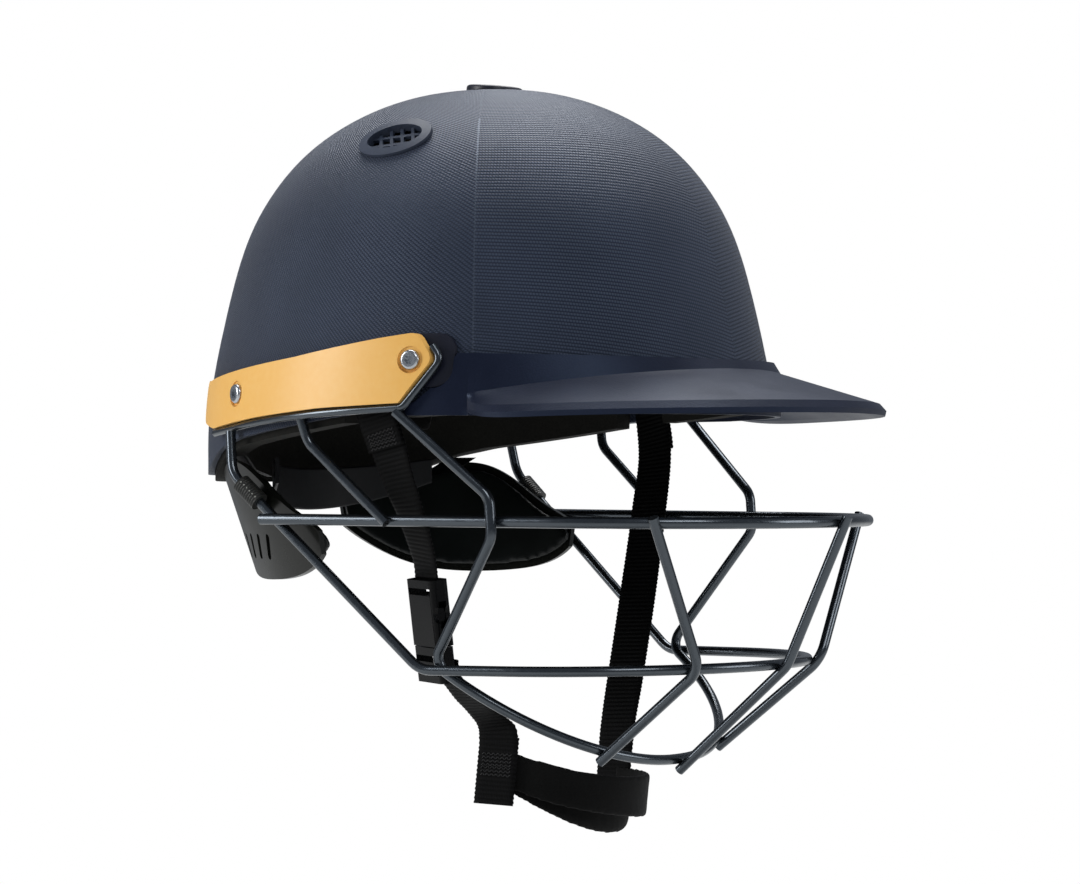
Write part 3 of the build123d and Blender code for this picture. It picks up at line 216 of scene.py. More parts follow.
# Peak: the same cloth pressed smooth under a lacquer; close grain, soft gloss
# Its bluish specular tint colours the reflections and stands in for a bluish light: a painted tint on the
# highlights
peakLook = {"colour": "#0f1220", "pale": "#1f2439", "roughness": 0.40, "specular": 0.42, "tint": "#a9c2ea",
            "grainMm": 0.8, "depthMm": 0.12}
# Plates: injection-moulded ABS; satin amber
plateLook = {"colour": "#f9bd5e", "pale": "#ffcf80", "roughness": 0.40, "specular": 0.45, "coat": 0.1,
             "coatRoughness": 0.3, "grainMm": 3.0, "depthMm": 0.02}
# Button and front spacers: moulded nylon, navy, finely sparked
navyLook = {"colour": "#0f1120", "pale": "#1e2233", "roughness": 0.38, "specular": 0.5,
            "grainMm": 0.8, "depthMm": 0.06}
# Vents: the same nylon, a shade greyer
ventLook = {"colour": "#262d3b", "pale": "#434d61", "roughness": 0.42, "specular": 0.5,
            "grainMm": 0.8, "depthMm": 0.06}
# Rear spacers: the same nylon in black
darkLook = {"colour": "#0f1012", "pale": "#1d1f22", "roughness": 0.45, "specular": 0.35,
            "grainMm": 1.2, "depthMm": 0.06}
# Liner: moulded foam under flock; dull olive black, freckled
linerLook = {"colour": "#121210", "pale": "#302f2b", "roughness": 0.8, "specular": 0.15,
             "grainMm": 1.0, "depthMm": 0.15}
# Neck guards: moulded TPU; smoky olive, softly glossy
polymerLook = {"colour": "#131411", "pale": "#1e201c", "roughness": 0.30, "specular": 0.22, "coat": 0.1,
               "coatRoughness": 0.2, "grainMm": 5.0, "depthMm": 0.03}
# Neck guards' inner skins: the same TPU over thin foam; green-black and smooth
skinLook = {"colour": "#0a0d0c", "pale": "#141918", "roughness": 0.36, "specular": 0.3,
            "grainMm": 6.0, "depthMm": 0.03}
# Cradle: moulded polypropylene; dull black
cradleLook = {"colour": "#101113", "pale": "#1b1c1f", "roughness": 0.5, "specular": 0.25,
              "grainMm": 1.5, "depthMm": 0.05}
# Buckle: moulded nylon; black with a fine dull grain
buckleLook = {"colour": "#050506", "pale": "#0f0f11", "roughness": 0.25, "specular": 0.12,
              "grainMm": 0.9, "depthMm": 0.04}
# Pads: brushed polyester fleece; a dead black with a faint bloom
fleeceLook = {"colour": "#060606", "pale": "#161615", "roughness": 0.95, "specular": 0.05, "sheen": 0.12,
              "grainMm": 0.7, "depthMm": 0.4}
# Chin cup: brushed nubuck over foam; soft black, finely speckled
cupLook = {"colour": "#070707", "pale": "#191918", "roughness": 0.80, "specular": 0.10, "sheen": 0.05,
           "grainMm": 0.6, "depthMm": 0.15}
# Stitches: bonded nylon thread; black with a small gloss
threadLook = {"colour": "#0d0d0e", "pale": "#252527", "roughness": 0.45, "specular": 0.4,
              "grainMm": 0.5, "depthMm": 0.05}
# Dots: pad-printed ink; pale grey
dotLook = {"colour": "#8f908a", "pale": "#a9aaa4", "roughness": 0.5, "specular": 0.4,
           "grainMm": 0.6, "depthMm": 0.02}
wearScale = 30.0  # patches of about 33 mm
wearSpread = (0.05, 0.06)
grainBump = 0.7


def makeGrained(name, look):
    material, tree, shader = newMaterial(name, look)
    point = objectPoint(tree)
    grain = grainHeight(tree, point, look["grainMm"])
    wear = noiseOn(tree, point, wearScale, patchDetail)
    share = mathNode(tree, "MULTIPLY", grain, wear)
    tree.links.new(blendOwn(tree, share, look), shader.inputs["Base Color"])
    roughenInto(tree, shader, wear, look, wearSpread)
    bumpInto(tree, shader, grain, look, grainBump)
    return material


# Guard wires: mild steel under gunmetal powder coat; dark, a bright line along the top, slight orange peel
wireLook = {"colour": "#4b5157", "roughness": 0.22, "metallic": 0.90, "coat": 0.3, "coatRoughness": 0.10,
            "grainMm": 3.0, "depthMm": 0.0015}
# Screws: zinc-plated steel, bright with fine scratches
zincLook = {"colour": "#b9bdc2", "roughness": 0.26, "metallic": 1.0, "grainMm": 0.4, "depthMm": 0.02}
peelSpread = (0.04, 0.05)
peelBump = 0.4


def makeSteel(name, look):
    material, tree, shader = newMaterial(name, look)
    grain = grainHeight(tree, objectPoint(tree), look["grainMm"])
    roughenInto(tree, shader, grain, look, peelSpread)
    bumpInto(tree, shader, grain, look, peelBump)
    return material


# Webbing: woven polyester; black, each rib catching a dull light; it reads the strap's own UV, in metres
# Its pale colour is a painted highlight on the rib tops
webLook = {"colour": "#020202", "pale": "#111112", "roughness": 0.60, "specular": 0.08,
           "ribMm": 2.0, "yarnMm": 0.8, "yarnShare": 0.5, "fuzzMm": 0.5, "fuzzShare": 0.8, "fuzzBase": 0.1,
           "depthMm": 0.16, "bump": 0.6}


def makeWebbing(look):
    material, tree, shader = newMaterial("wovenWebbing", look)
    point = addNode(tree, "ShaderNodeUVMap", {"uv_map": "strap"}).outputs["UV"]
    u, v, _ = addNode(tree, "ShaderNodeSeparateXYZ", None, {0: point}).outputs
    ribs = waveAlong(tree, v, look["ribMm"])
    yarn = waveAlong(tree, u, look["yarnMm"])
    fuzz = grainHeight(tree, objectPoint(tree), look["fuzzMm"])
    height = mathNode(tree, "MULTIPLY_ADD", yarn, look["yarnShare"], fuzz)
    # The rib tops are painted paler: a painted highlight along each rib, varied by the fuzz
    share = mathNode(tree, "MULTIPLY", mathNode(tree, "MULTIPLY", ribs, ribs),
                     mathNode(tree, "MULTIPLY_ADD", fuzz, look["fuzzShare"], look["fuzzBase"]))
    tree.links.new(blendOwn(tree, share, look), shader.inputs["Base Color"])
    bumpInto(tree, shader, height, look, look["bump"])
    return material


# Guard hinges: soft TPU sleeves with fine grips across the wire's run
# Its pale colour is a painted highlight on the ridge tops, the dark one painted shade in the grooves
gripLook = {"colour": "#101110", "pale": "#2b2c29", "roughness": 0.42, "specular": 0.35,
            "ridgeMm": 1.3, "depthMm": 0.35, "bump": 0.8}
hingeStart = Vector((-105.475, 57.05, -29.215))  # upper end of the right sleeve's wire, in mm
hingeWay = Vector((0.080489, -0.758899, -0.646214))


def makeGrip(look):
    material, tree, shader = newMaterial("ribbedSoftTpu", look)
    x, y, z = addNode(tree, "ShaderNodeSeparateXYZ", None, {0: objectPoint(tree)}).outputs
    run = mathNode(tree, "MULTIPLY_ADD", mathNode(tree, "ABSOLUTE", x), -hingeWay.x, mathNode(
        tree, "MULTIPLY_ADD", y, hingeWay.y, mathNode(tree, "MULTIPLY", z, hingeWay.z)))
    ridge = waveAlong(tree, run, look["ridgeMm"])
    # The ridge tops are painted paler and the grooves darker: painted light and shade on the grips
    tree.links.new(blendOwn(tree, ridge, look), shader.inputs["Base Color"])
    bumpInto(tree, shader, ridge, look, look["bump"])
    return material


finishes = {
    "shellCloth": makeShellCloth(clothLook),
    "peakSkin": makeGrained("pressedPeakCloth", peakLook),
    "navy": makeGrained("mouldedNavyNylon", navyLook),
    "vent": makeGrained("mouldedGreyNavyNylon", ventLook),
    "dark": makeGrained("mouldedBlackNylon", darkLook),
    "plate": makeGrained("mouldedAmberAbs", plateLook),
    "zinc": makeSteel("zincPlatedSteel", zincLook),
    "wire": makeSteel("powderCoatedSteel", wireLook),
    "liner": makeGrained("mouldedLinerFoam", linerLook),
    "polymer": makeGrained("mouldedSmokyTpu", polymerLook),
    "buckle": makeGrained("mouldedBuckleNylon", buckleLook),
    "fleece": makeGrained("brushedFleece", fleeceLook),
    "nubuck": makeGrained("brushedNubuck", cupLook),
    "web": makeWebbing(webLook),
    "skin": makeGrained("mouldedGuardSkin", skinLook),
    "cradle": makeGrained("mouldedCradlePolypropylene", cradleLook),
    "grip": makeGrip(gripLook),
    "thread": makeGrained("bondedNylonThread", threadLook),
    "dot": makeGrained("padPrintedDot", dotLook),
}
print("finishes made:", len(finishes))

nodeFinish = {
    "shellCloth": ["outer_shell"],
    "peakSkin": ["peak"],
    "navy": ["crown_button", "front_spacer_right", "front_spacer_left"],
    "vent": ["vent_grille_right", "vent_grille_left"],
    "dark": ["rear_spacers"],
    "plate": ["side_plate_right", "side_plate_left"],
    "zinc": ["plate_screws", "shell_nuts", "anchor_rivets"],
    "wire": ["guard_lugs", "plate_wire_right", "plate_wire_left", "main_bar", "lower_wire", "chin_wire",
             "side_wire_right", "side_wire_left", "front_wire_centre", "front_wire_right", "front_wire_left"],
    "liner": ["impact_liner"],
    "polymer": ["neck_guard_right", "neck_guard_left"],
    "grip": ["guard_clip_right", "guard_clip_left"],
    "cradle": ["nape_cradle", "cradle_hanger_right", "cradle_hanger_left"],
    "buckle": ["buckle_socket", "buckle_plug", "buckle_prong_front", "buckle_prong_rear"],
}
for finish, names in nodeFinish.items():
    for name in names:
        data = nodes[name].data
        data.materials.clear()
        data.materials.append(finishes[finish])


def addPiece(name, mesh, finish, body, slotName, *stands):
    piece = bpy.data.objects.new(name, mesh)
    bpy.context.scene.collection.objects.link(piece)
    mesh.materials.clear()
    mesh.materials.append(finishes[finish])
    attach(piece, body)
    if stands:
        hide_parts(*stands)
    return piece


def evaluated(piece):
    graph = bpy.context.evaluated_depsgraph_get()
    return bpy.data.meshes.new_from_object(piece.evaluated_get(graph))


# Soft pieces: remeshed from their solids; the pads are shrunk and swell again as cloth under pressure

padShape = {"voxelMm": 4.0, "shrinkMm": 0.8, "pressure": 4.0, "quality": 5, "frames": 20, "capMm": 1.6,
            "napMm": 0.10}
cupShape = {"voxelMm": 1.2, "napMm": 0.06}
liningShape = {"voxelMm": 1.5}
softLook = {"mergeMm": 0.02, "smoothRounds": 2, "smoothShare": 0.5, "napPatchMm": 3.5}


def pushOut(mesh, amount):
    normals = [v.normal.copy() for v in mesh.vertices]  # read after a move, each would cost a full pass
    for vertex, normal in zip(mesh.vertices, normals):
        vertex.co += normal * amount(vertex.co)


def swell(work, shape):
    start = [v.co.copy() for v in work.data.vertices]
    cloth = work.modifiers.new("air", "CLOTH")
    cloth.settings.use_pressure = True
    cloth.settings.uniform_pressure_force = shape["pressure"]
    cloth.settings.effector_weights.gravity = 0.0
    cloth.settings.quality = shape["quality"]
    scene = bpy.context.scene
    for step in range(1, shape["frames"] + 1):
        scene.frame_set(step)
    swollen = evaluated(work)
    work.modifiers.clear()
    scene.frame_set(1)
    cap = shape["capMm"] * mm
    for vertex, old in zip(swollen.vertices, start):
        move = vertex.co - old
        if move.length > cap:
            vertex.co = old + move.normalized() * cap
    work.data = swollen


def softPiece(name, node, finish, body, slotName, shape, form=None):
    work = bpy.data.objects.new(name + "Work", nodes[node].data.copy())
    bpy.context.scene.collection.objects.link(work)
    shell = bmesh.new()
    shell.from_mesh(work.data)
    bmesh.ops.remove_doubles(shell, verts=shell.verts, dist=softLook["mergeMm"] * mm)
    shell.to_mesh(work.data)
    shell.free()
    remesh = work.modifiers.new("remesh", "REMESH")
    remesh.mode = "VOXEL"
    remesh.voxel_size = shape["voxelMm"] * mm
    base = evaluated(work)
    work.modifiers.clear()
    work.data = base
    if "shrinkMm" in shape:
        pushOut(base, lambda spot: -shape["shrinkMm"] * mm)
    if "frames" in shape:
        swell(work, shape)
    smooth = bmesh.new()
    smooth.from_mesh(work.data)
    for _ in range(softLook["smoothRounds"]):
        bmesh.ops.smooth_vert(smooth, verts=smooth.verts, factor=softLook["smoothShare"],
                              use_axis_x=True, use_axis_y=True, use_axis_z=True)
    smooth.to_mesh(work.data)
    smooth.free()
    work.modifiers.new("fine", "SUBSURF").levels = 1
    mesh = evaluated(work)
    if form:
        form(mesh)
    if "napMm" in shape:
        patch = softLook["napPatchMm"] * mm
        pushOut(mesh, lambda spot: noise.noise(spot / patch) * shape["napMm"] * mm)
    for face in mesh.polygons:
        face.use_smooth = True
    bpy.data.objects.remove(work)
    piece = addPiece(name, mesh, finish, body, slotName, node)


# The cup's rim dips in front and rises towards its ends; the sling is drawn back and tapers; in metres
cupForm = {"dip": 0.0080, "sink": 0.0030, "rise": 0.0060,
           "halfSpan": 0.048, "drawBack": 0.007, "taper": 0.008}


def rangeOf(mesh, axis):
    reached = [v.co[axis] for v in mesh.vertices]
    return min(reached), max(reached)


def dipRim(mesh):
    low, high = rangeOf(mesh, 2)
    front, rear = rangeOf(mesh, 1)
    for vertex in mesh.vertices:
        back = (vertex.co.y - front) / (rear - front)
        height = (vertex.co.z - low) / (high - low)
        vertex.co.z += cupForm["rise"] * back * back * height
        vertex.co.z -= (1 - back) * (cupForm["sink"] + cupForm["dip"] * height * height)


def drawBack(mesh):
    low, high = rangeOf(mesh, 2)
    for vertex in mesh.vertices:
        span = min(1.0, abs(vertex.co.x) / cupForm["halfSpan"]) ** 2
        vertex.co.y += cupForm["drawBack"] * (1 - span)
        vertex.co.z += cupForm["taper"] * span * (high - vertex.co.z) / (high - low)


for side in ("right", "left"):
    softPiece("sidePad" + side.title(), "side_pad_" + side, "fleece", "shell", "fleece", padShape)
    softPiece("guardLining" + side.title(), "guard_lining_" + side, "skin", "neck_guard_" + side,
              "guard_foam", liningShape)
softPiece("crownPad", "crown_pad", "fleece", "shell", "fleece", padShape)
softPiece("browPad", "brow_pad", "fleece", "shell", "fleece", padShape)
softPiece("napePad", "nape_pad", "fleece", "shell", "fleece", padShape)
softPiece("chinCup", "chin_cup", "nubuck", "chin_strap", "cup_skin", cupShape, dipRim)
softPiece("chinSling", "chin_sling", "nubuck", "chin_strap", "cup_skin", cupShape, drawBack)
print("pads settled")


# Webbing: swept along the straps' own places, with its ribs and selvedges in the mesh

strapLook = {"widthMm": 19.0, "wallMm": 1.5, "ribMm": 2.0, "ribShare": 0.38, "stepMm": 0.4,
             "acrossSteps": 10, "bulge": 0.12, "edgeWaveMm": 0.18, "waveFrom": 0.9,
             "edgeShare": 0.55, "edgeFrom": 0.99}


def smoothRun(places, turns, stepMm):  # a centripetal Catmull-Rom line through the places, with eased turns
    points = [Vector(p) for p in places]
    points = [points[0] * 2 - points[1]] + points + [points[-1] * 2 - points[-2]]
    run = []
    for i in range(1, len(points) - 2):
        a, b, c, d = points[i - 1:i + 3]
        count = max(2, round((c - b).length / stepMm))
        t1 = (b - a).length ** 0.5
        t2 = t1 + (c - b).length ** 0.5
        t3 = t2 + (d - c).length ** 0.5
        for k in range(count):
            share = k / count
            t = t1 + (t2 - t1) * share
            ab = a * ((t1 - t) / t1) + b * (t / t1)
            bc = b * ((t2 - t) / (t2 - t1)) + c * ((t - t1) / (t2 - t1))
            cd = c * ((t3 - t) / (t3 - t2)) + d * ((t - t2) / (t3 - t2))
            abc = ab * ((t2 - t) / t2) + bc * (t / t2)
            bcd = bc * ((t3 - t) / (t3 - t1)) + cd * ((t - t1) / (t3 - t1))
            spot = abc * ((t2 - t) / (t2 - t1)) + bcd * ((t - t1) / (t2 - t1))
            ease = share * share * (3 - 2 * share)
            run.append((spot, turns[i - 1] + (turns[i] - turns[i - 1]) * ease))
    run.append((points[-2], turns[-1]))
    return run


def crossFrame(line, index, reach):  # which way the strap runs there, its width and its face
    before = line[max(index - reach, 0)][0]
    after = line[min(index + reach, len(line) - 1)][0]
    way = (after - before).normalized()
    turn = math.radians(line[index][1])
    across = Vector((-math.sin(turn), -math.cos(turn), 0))
    across = (across - way * across.dot(way)).normalized()
    return way, across, way.cross(across)


def strapOutline(width, wall, look):  # places across the width, and 1 for the front, -1 for the back
    half = width / 2
    parts = look["acrossSteps"]
    steps = [width * i / parts for i in range(parts + 1)]
    reach = half + wall * look["bulge"]
    front = [(-half + step, 1) for step in steps]
    back = [(half - step, -1) for step in steps]
    return front + [(reach, 0)] + back + [(-reach, 0)]


def strapMesh(name, run, width, wall, shift=0.0, cutLevel=None):
    look = strapLook
    line = smoothRun(run["places"], run["turns"], look["stepMm"])
    mesh = bmesh.new()
    layer = mesh.loops.layers.uv.new("strap")
    half = width / 2
    outline = strapOutline(width, wall, look)
    rings = []
    gone = 0.0
    for i, (spot, _) in enumerate(line):
        if i:
            gone += (spot - line[i - 1][0]).length
        if cutLevel is not None and spot.z < cutLevel:
            break
        _, across, face = crossFrame(line, i, 1)
        rib = abs(math.sin(math.pi * gone / look["ribMm"]))
        edge = look["edgeWaveMm"] * math.sin(2 * math.pi * gone / look["ribMm"])
        thick = wall / 2 * (1 - look["ribShare"] + look["ribShare"] * rib)
        ring = []
        for place, side in outline:
            thin = thick * (look["edgeShare"] if abs(place) >= half * look["edgeFrom"] else 1.0)
            reach = place + (edge if abs(place) > half * look["waveFrom"] else 0.0)
            ring.append(mesh.verts.new((spot + across * reach + face * (thin * side + shift)) * mm))
        rings.append((ring, gone))
    count = len(outline)
    for (upper, goneUp), (lower, goneDown) in zip(rings, rings[1:]):
        for i in range(count):
            after = (i + 1) % count
            quad = mesh.faces.new((upper[i], upper[after], lower[after], lower[i]))
            quad.smooth = True
            near, far = outline[i][0], outline[after][0]
            corners = ((near, goneUp), (far, goneUp), (far, goneDown), (near, goneDown))
            for loop, (u, v) in zip(quad.loops, corners):
                loop[layer].uv = (u * mm, v * mm)
    mesh.faces.new(rings[0][0][::-1])
    mesh.faces.new(rings[-1][0])
    bmesh.ops.recalc_face_normals(mesh, faces=mesh.faces)
    data = bpy.data.meshes.new(name)
    mesh.to_mesh(data)
    mesh.free()
    return data


rightRun = {
    "places": [(-103.1, -20.0, 17.0), (-104.6, -20.0, 5.0), (-102.4, -24.2, -11.9), (-97.6, -28.0, -30.8),
               (-91.5, -30.1, -46.1), (-84.3, -30.8, -64.3), (-83.5, -31.0, -70.2)],
    "turns": [-6.6, -6.6, -2.0, 7.0, 15.0, 22.0, 22.0],
}
leftRun = {
    "places": [(103.1, -20.0, 17.0), (104.6, -20.0, 5.0), (102.4, -24.0, -15.0), (93.0, -26.8, -44.1),
               (79.1, -30.0, -83.5), (64.2, -33.4, -120.9), (55.1, -35.4, -143.6), (50.2, -36.6, -164.5),
               (48.4, -36.6, -176.4)],
    "turns": [6.6, 6.6, 3.0, -2.0, -6.0, -5.0, 0.0, 2.2, 2.2],
}
lowerRun = {
    "places": [(-73.6, -34.4, -105.4), (-72.6, -34.7, -111.5), (-68.4, -36.4, -118.0), (-61.2, -39.1, -125.2),
               (-53.0, -41.6, -131.8), (-47.9, -42.6, -137.2), (-46.8, -42.8, -143.8)],
    "turns": [22.0, 22.0, 19.0, 11.0, 0.0, -8.0, -11.0],
}
patchRun = {
    "places": [(-46.33, -42.79, -140.9), (-48.57, -42.79, -155.74), (-50.79, -42.79, -170.57)],
    "turns": [-10.97, -10.97, -10.97],
}
patchLook = {"widthMm": 19.0, "wallMm": 1.6}
# The ends of the two straps, doubled back over the anchors: a second layer outside the first
doubleLook = {"widthMm": 19.4, "wallMm": 1.4, "liftMm": 1.55, "downMm": 31.0}


def addStrap(name, run, look, node):
    mesh = strapMesh(name, run, look["widthMm"], look["wallMm"])
    return addPiece(name, mesh, "web", "chin_strap", "webbing", node)


# Both straps' faces look to the wearer's right, so outwards is 1 for the right strap and -1 for the left one
def addDoubled(name, run, look, node, outwards):
    level = run["places"][0][2] - look["downMm"]
    mesh = strapMesh(name, run, look["widthMm"], look["wallMm"], look["liftMm"] * outwards, level)
    return addPiece(name, mesh, "web", "chin_strap", "webbing", node)


addStrap("rightStrap", rightRun, strapLook, "strap_right_upper")
addStrap("leftStrap", leftRun, strapLook, "strap_left")
lowerStrap = addStrap("lowerStrap", lowerRun, strapLook, "strap_right_lower")
addDoubled("rightStrapEnd", rightRun, doubleLook, "strap_right_end", 1)
addDoubled("leftStrapEnd", leftRun, doubleLook, "strap_left_end", -1)
addStrap("strapPatch", patchRun, patchLook, "strap_patch_right")
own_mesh(lowerStrap)
print("straps swept")


# Geometry Nodes: a stitch for every edge, and a bead for every point

def newGroup(name, sizes):
    tree = bpy.data.node_groups.new(name, "GeometryNodeTree")
    tree.interface.new_socket("Geometry", in_out="INPUT", socket_type="NodeSocketGeometry")
    sockets = {"Geometry": tree.interface.items_tree[0].identifier}
    for label, value in sizes.items():
        socket = tree.interface.new_socket(label, in_out="INPUT", socket_type="NodeSocketFloat")
        socket.default_value = value
        sockets[label] = socket.identifier
    socket = tree.interface.new_socket("Material", in_out="INPUT", socket_type="NodeSocketMaterial")
    sockets["Material"] = socket.identifier
    tree.interface.new_socket("Geometry", in_out="OUTPUT", socket_type="NodeSocketGeometry")
    return tree, sockets


def closeGroup(tree, entry, made):
    real = addNode(tree, "GeometryNodeRealizeInstances", None, {"Geometry": made})
    coloured = addNode(tree, "GeometryNodeSetMaterial", None, {
        "Geometry": real.outputs[0], "Material": entry.outputs["Material"]})
    addNode(tree, "NodeGroupOutput", None, {0: coloured.outputs[0]})


def stitchGroup():
    tree, sockets = newGroup("stitchOnEdges", {"Thread Radius": 0.0002})
    entry = addNode(tree, "NodeGroupInput")
    curves = addNode(tree, "GeometryNodeMeshToCurve", None, {0: entry.outputs["Geometry"]})
    fine = addNode(tree, "GeometryNodeResampleCurve", None, {"Curve": curves.outputs[0], "Count": 5})
    share = addNode(tree, "GeometryNodeSplineParameter").outputs["Factor"]
    bow = mathNode(tree, "SINE", mathNode(tree, "MULTIPLY", share, math.pi))
    fat = addNode(tree, "GeometryNodeSetCurveRadius", None, {
        "Curve": fine.outputs[0], "Radius": mathNode(tree, "MULTIPLY_ADD", bow, 0.5, 0.5)})
    circle = addNode(tree, "GeometryNodeCurvePrimitiveCircle", None, {
        "Resolution": 6, "Radius": entry.outputs["Thread Radius"]})
    tube = addNode(tree, "GeometryNodeCurveToMesh", None, {
        "Curve": fat.outputs[0], "Profile Curve": circle.outputs["Curve"], "Fill Caps": True})
    closeGroup(tree, entry, tube.outputs[0])
    return tree, sockets


def beadGroup():
    tree, sockets = newGroup("beadOnPoints", {"Bead Radius": 0.0005})
    entry = addNode(tree, "NodeGroupInput")
    ball = addNode(tree, "GeometryNodeMeshIcoSphere", None, {
        "Radius": entry.outputs["Bead Radius"], "Subdivisions": 2})
    laid = addNode(tree, "GeometryNodeInstanceOnPoints", None, {
        "Points": entry.outputs["Geometry"], "Instance": ball.outputs["Mesh"]})
    closeGroup(tree, entry, laid.outputs[0])
    return tree, sockets


stitchTree, stitchSockets = stitchGroup()
beadTree, beadSockets = beadGroup()


def growOn(name, points, edges, tree, sockets, sizes, finish, body, slotName):
    seedMesh = bpy.data.meshes.new(name + "Seed")
    seedMesh.from_pydata(points, edges, [])
    holder = bpy.data.objects.new(name + "Seed", seedMesh)
    bpy.context.scene.collection.objects.link(holder)
    modifier = holder.modifiers.new("grow", "NODES")
    modifier.node_group = tree
    for label, value in sizes.items():
        modifier[sockets[label]] = value
    modifier[sockets["Material"]] = finishes[finish]
    grown = evaluated(holder)
    bpy.data.objects.remove(holder)
    for face in grown.polygons:
        face.use_smooth = True
    return addPiece(name, grown, finish, body, slotName)


# Bar tacks: rows of slanted stitches across the webbing

tackLook = {"rowGapMm": 1.5, "marginMm": 2.2, "pitchMm": 1.1, "slantMm": 0.9, "overlap": 0.8,
            "threadMm": 0.24, "liftMm": 0.05}
endTack = {"rows": 5, "startMm": 24.5}
patchTack = {"rows": 7, "startMm": 8.0}


def tackEdges(run, tack, outMm, look):
    line = smoothRun(run["places"], run["turns"], strapLook["stepMm"])
    gone = [0.0]
    for a, b in zip(line, line[1:]):
        gone.append(gone[-1] + (b[0] - a[0]).length)
    points, edges = [], []
    half = strapLook["widthMm"] / 2 - look["marginMm"]
    count = int(2 * half / look["pitchMm"])
    for row in range(tack["rows"]):
        goal = tack["startMm"] + row * look["rowGapMm"]
        index = min(range(len(line)), key=lambda i: abs(gone[i] - goal))
        way, across, face = crossFrame(line, index, 2)
        for stitch in range(count):
            place = -half + 2 * half * stitch / count
            lean = look["slantMm"] / 2 * (1 if stitch % 2 else -1)
            centre = line[index][0] + across * place + face * outMm
            points.append(tuple((centre - way * lean) * mm))
            points.append(tuple((centre + across * look["pitchMm"] * look["overlap"] + way * lean) * mm))
            edges.append((len(points) - 2, len(points) - 1))
    return points, edges


def addTack(name, run, tack, outMm):
    points, edges = tackEdges(run, tack, outMm, tackLook)
    growOn(name, points, edges, stitchTree, stitchSockets, {"Thread Radius": tackLook["threadMm"] * mm},
           "thread", "chin_strap", "webbing")


doubleOut = doubleLook["liftMm"] + doubleLook["wallMm"] / 2 + tackLook["liftMm"]
addTack("rightStrapTack", rightRun, endTack, doubleOut)
addTack("leftStrapTack", leftRun, endTack, -doubleOut)
addTack("patchTack", patchRun, patchTack, patchLook["wallMm"] / 2 + tackLook["liftMm"])


# A row of pale dots along each guard's hinge, on the side of its sleeve that faces out and forward

dotRow = {"count": 6, "firstMm": 1.6, "gapMm": 2.0, "axisMm": 4.30, "radiusMm": 0.42}
dotSide = Vector((-0.80, -0.45, 0.30))
dotSide = (dotSide - hingeWay * dotSide.dot(hingeWay)).normalized()
for side, sign in (("right", 1), ("left", -1)):
    dots = []
    for step in range(dotRow["count"]):
        along = dotRow["firstMm"] + step * dotRow["gapMm"]
        dot = hingeStart + hingeWay * along + dotSide * dotRow["axisMm"]
        dots.append((dot.x * sign * mm, dot.y * mm, dot.z * mm))
    growOn("hingeDots" + side.title(), dots, [], beadTree, beadSockets,
           {"Bead Radius": dotRow["radiusMm"] * mm}, "dot", "neck_guard_" + side, "guard_polymer")
print("stitches and dots grown")

# Floor, air, lamps and camera; the camera sees white paper all round

bpy.context.view_layer.update()
pureWhite = (1, 1, 1, 1)
floorLook = {"colour": "#dededc", "level": -0.32, "half": 3.0, "inMirrors": 0.12}


def makeFloor(look):
    plane = bmesh.new()
    half = look["half"]
    corners = [(-half, -half), (half, -half), (half, half), (-half, half)]
    plane.faces.new([plane.verts.new((x, y, look["level"])) for x, y in corners])
    mesh = bpy.data.meshes.new("paperFloor")
    plane.to_mesh(mesh)
    plane.free()
    floor = bpy.data.objects.new("paperFloor", mesh)
    bpy.context.scene.collection.objects.link(floor)
    material, tree, shader = newMaterial("whitePaper", {"colour": look["colour"], "roughness": 0.9})
    path = addNode(tree, "ShaderNodeLightPath")
    mirrored = mathNode(tree, "MULTIPLY", path.outputs["Is Glossy Ray"], look["inMirrors"])
    seen = mathNode(tree, "MINIMUM", 1.0, mathNode(tree, "ADD", path.outputs["Is Camera Ray"], mathNode(
        tree, "ADD", mirrored, path.outputs["Is Transmission Ray"])))
    glow = addNode(tree, "ShaderNodeEmission", None, {"Color": pureWhite, "Strength": 1.0})
    mix = addNode(tree, "ShaderNodeMixShader", None, {0: seen, 1: shader.outputs[0], 2: glow.outputs[0]})
    tree.links.new(mix.outputs[0], tree.nodes["Material Output"].inputs["Surface"])
    mesh.materials.append(material)


makeFloor(floorLook)

world = bpy.data.worlds.new("studioAir")
bpy.context.scene.world = world
world.use_nodes = True
airLook = {"colour": "#dce5f2", "strength": 0.24}
air = world.node_tree
air.nodes.clear()
lightPath = addNode(air, "ShaderNodeLightPath")
softAir = addNode(air, "ShaderNodeBackground", None, {
    "Color": linear(airLook["colour"]), "Strength": airLook["strength"]})
paper = addNode(air, "ShaderNodeBackground", None, {"Color": pureWhite, "Strength": 1.0})
airMix = addNode(air, "ShaderNodeMixShader", None, {0: lightPath.outputs["Is Camera Ray"],
                                                    1: softAir.outputs[0], 2: paper.outputs[0]})
airOut = addNode(air, "ShaderNodeOutputWorld")
air.links.new(airMix.outputs[0], airOut.inputs["Surface"])

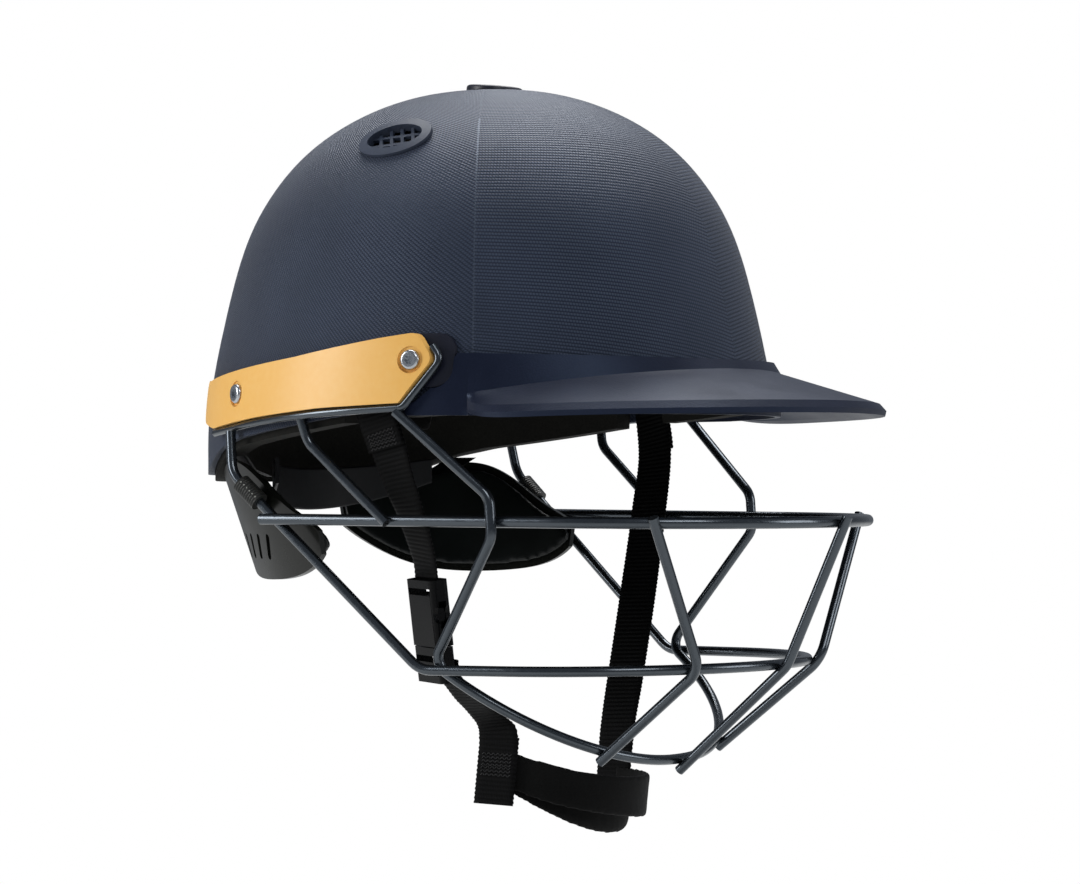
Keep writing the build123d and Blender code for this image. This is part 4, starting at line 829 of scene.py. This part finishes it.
lampLooks = [
    {"name": "skyLamp", "at": (0.42, 0.22, 1.30), "aim": (0.0, 0.0, 0.06),
     "power": 24.0, "width": 1.0, "height": 0.9},
    {"name": "frontLamp", "at": (-0.85, -1.20, 1.05), "aim": (0.0, -0.03, 0.0),
     "power": 6.5, "width": 0.7, "height": 0.6},
    {"name": "sideLamp", "at": (-1.10, 0.90, 0.42), "aim": (0.0, 0.0, 0.05),
     "power": 11.0, "width": 0.45, "height": 0.9},
    {"name": "noseLamp", "at": (0.55, -1.35, 0.35), "aim": (0.0, -0.05, -0.02),
     "power": 4.5, "width": 0.6, "height": 0.6},
]
for lampLook in lampLooks:
    lamp = bpy.data.lights.new(lampLook["name"], "AREA")
    lamp.shape = "RECTANGLE"
    lamp.size = lampLook["width"]
    lamp.size_y = lampLook["height"]
    lamp.energy = lampLook["power"]
    holder = bpy.data.objects.new(lampLook["name"], lamp)
    holder.location = lampLook["at"]
    beam = Vector(lampLook["aim"]) - Vector(lampLook["at"])
    holder.rotation_euler = beam.to_track_quat("-Z", "Y").to_euler()
    bpy.context.scene.collection.objects.link(holder)
print("lamps hung")

# The camera's place and turn were fitted to mirrored points of the guard; its focal length is in image pixels
cameraLook = {"place": (-1.13857, -0.87090, -0.02281), "right": (0.59385, -0.80457, 0.00166),
              "up": (-0.00807, -0.00389, 0.99996), "back": (-0.80453, -0.59384, -0.00880),
              "sensorMm": 36.0, "focalPixels": 3100, "imageWidth": 1080}
camera = bpy.data.cameras.new("camera")
camera.sensor_width = cameraLook["sensorMm"]
camera.lens = cameraLook["sensorMm"] * cameraLook["focalPixels"] / cameraLook["imageWidth"]
cameraHolder = bpy.data.objects.new("camera", camera)
axes = Matrix([cameraLook[axis] for axis in ("right", "up", "back")]).transposed()
cameraHolder.matrix_world = Matrix.Translation(cameraLook["place"]) @ axes.to_4x4()
bpy.context.scene.collection.objects.link(cameraHolder)
bpy.context.scene.camera = cameraHolder
bpy.context.scene.view_settings.view_transform = "Standard"
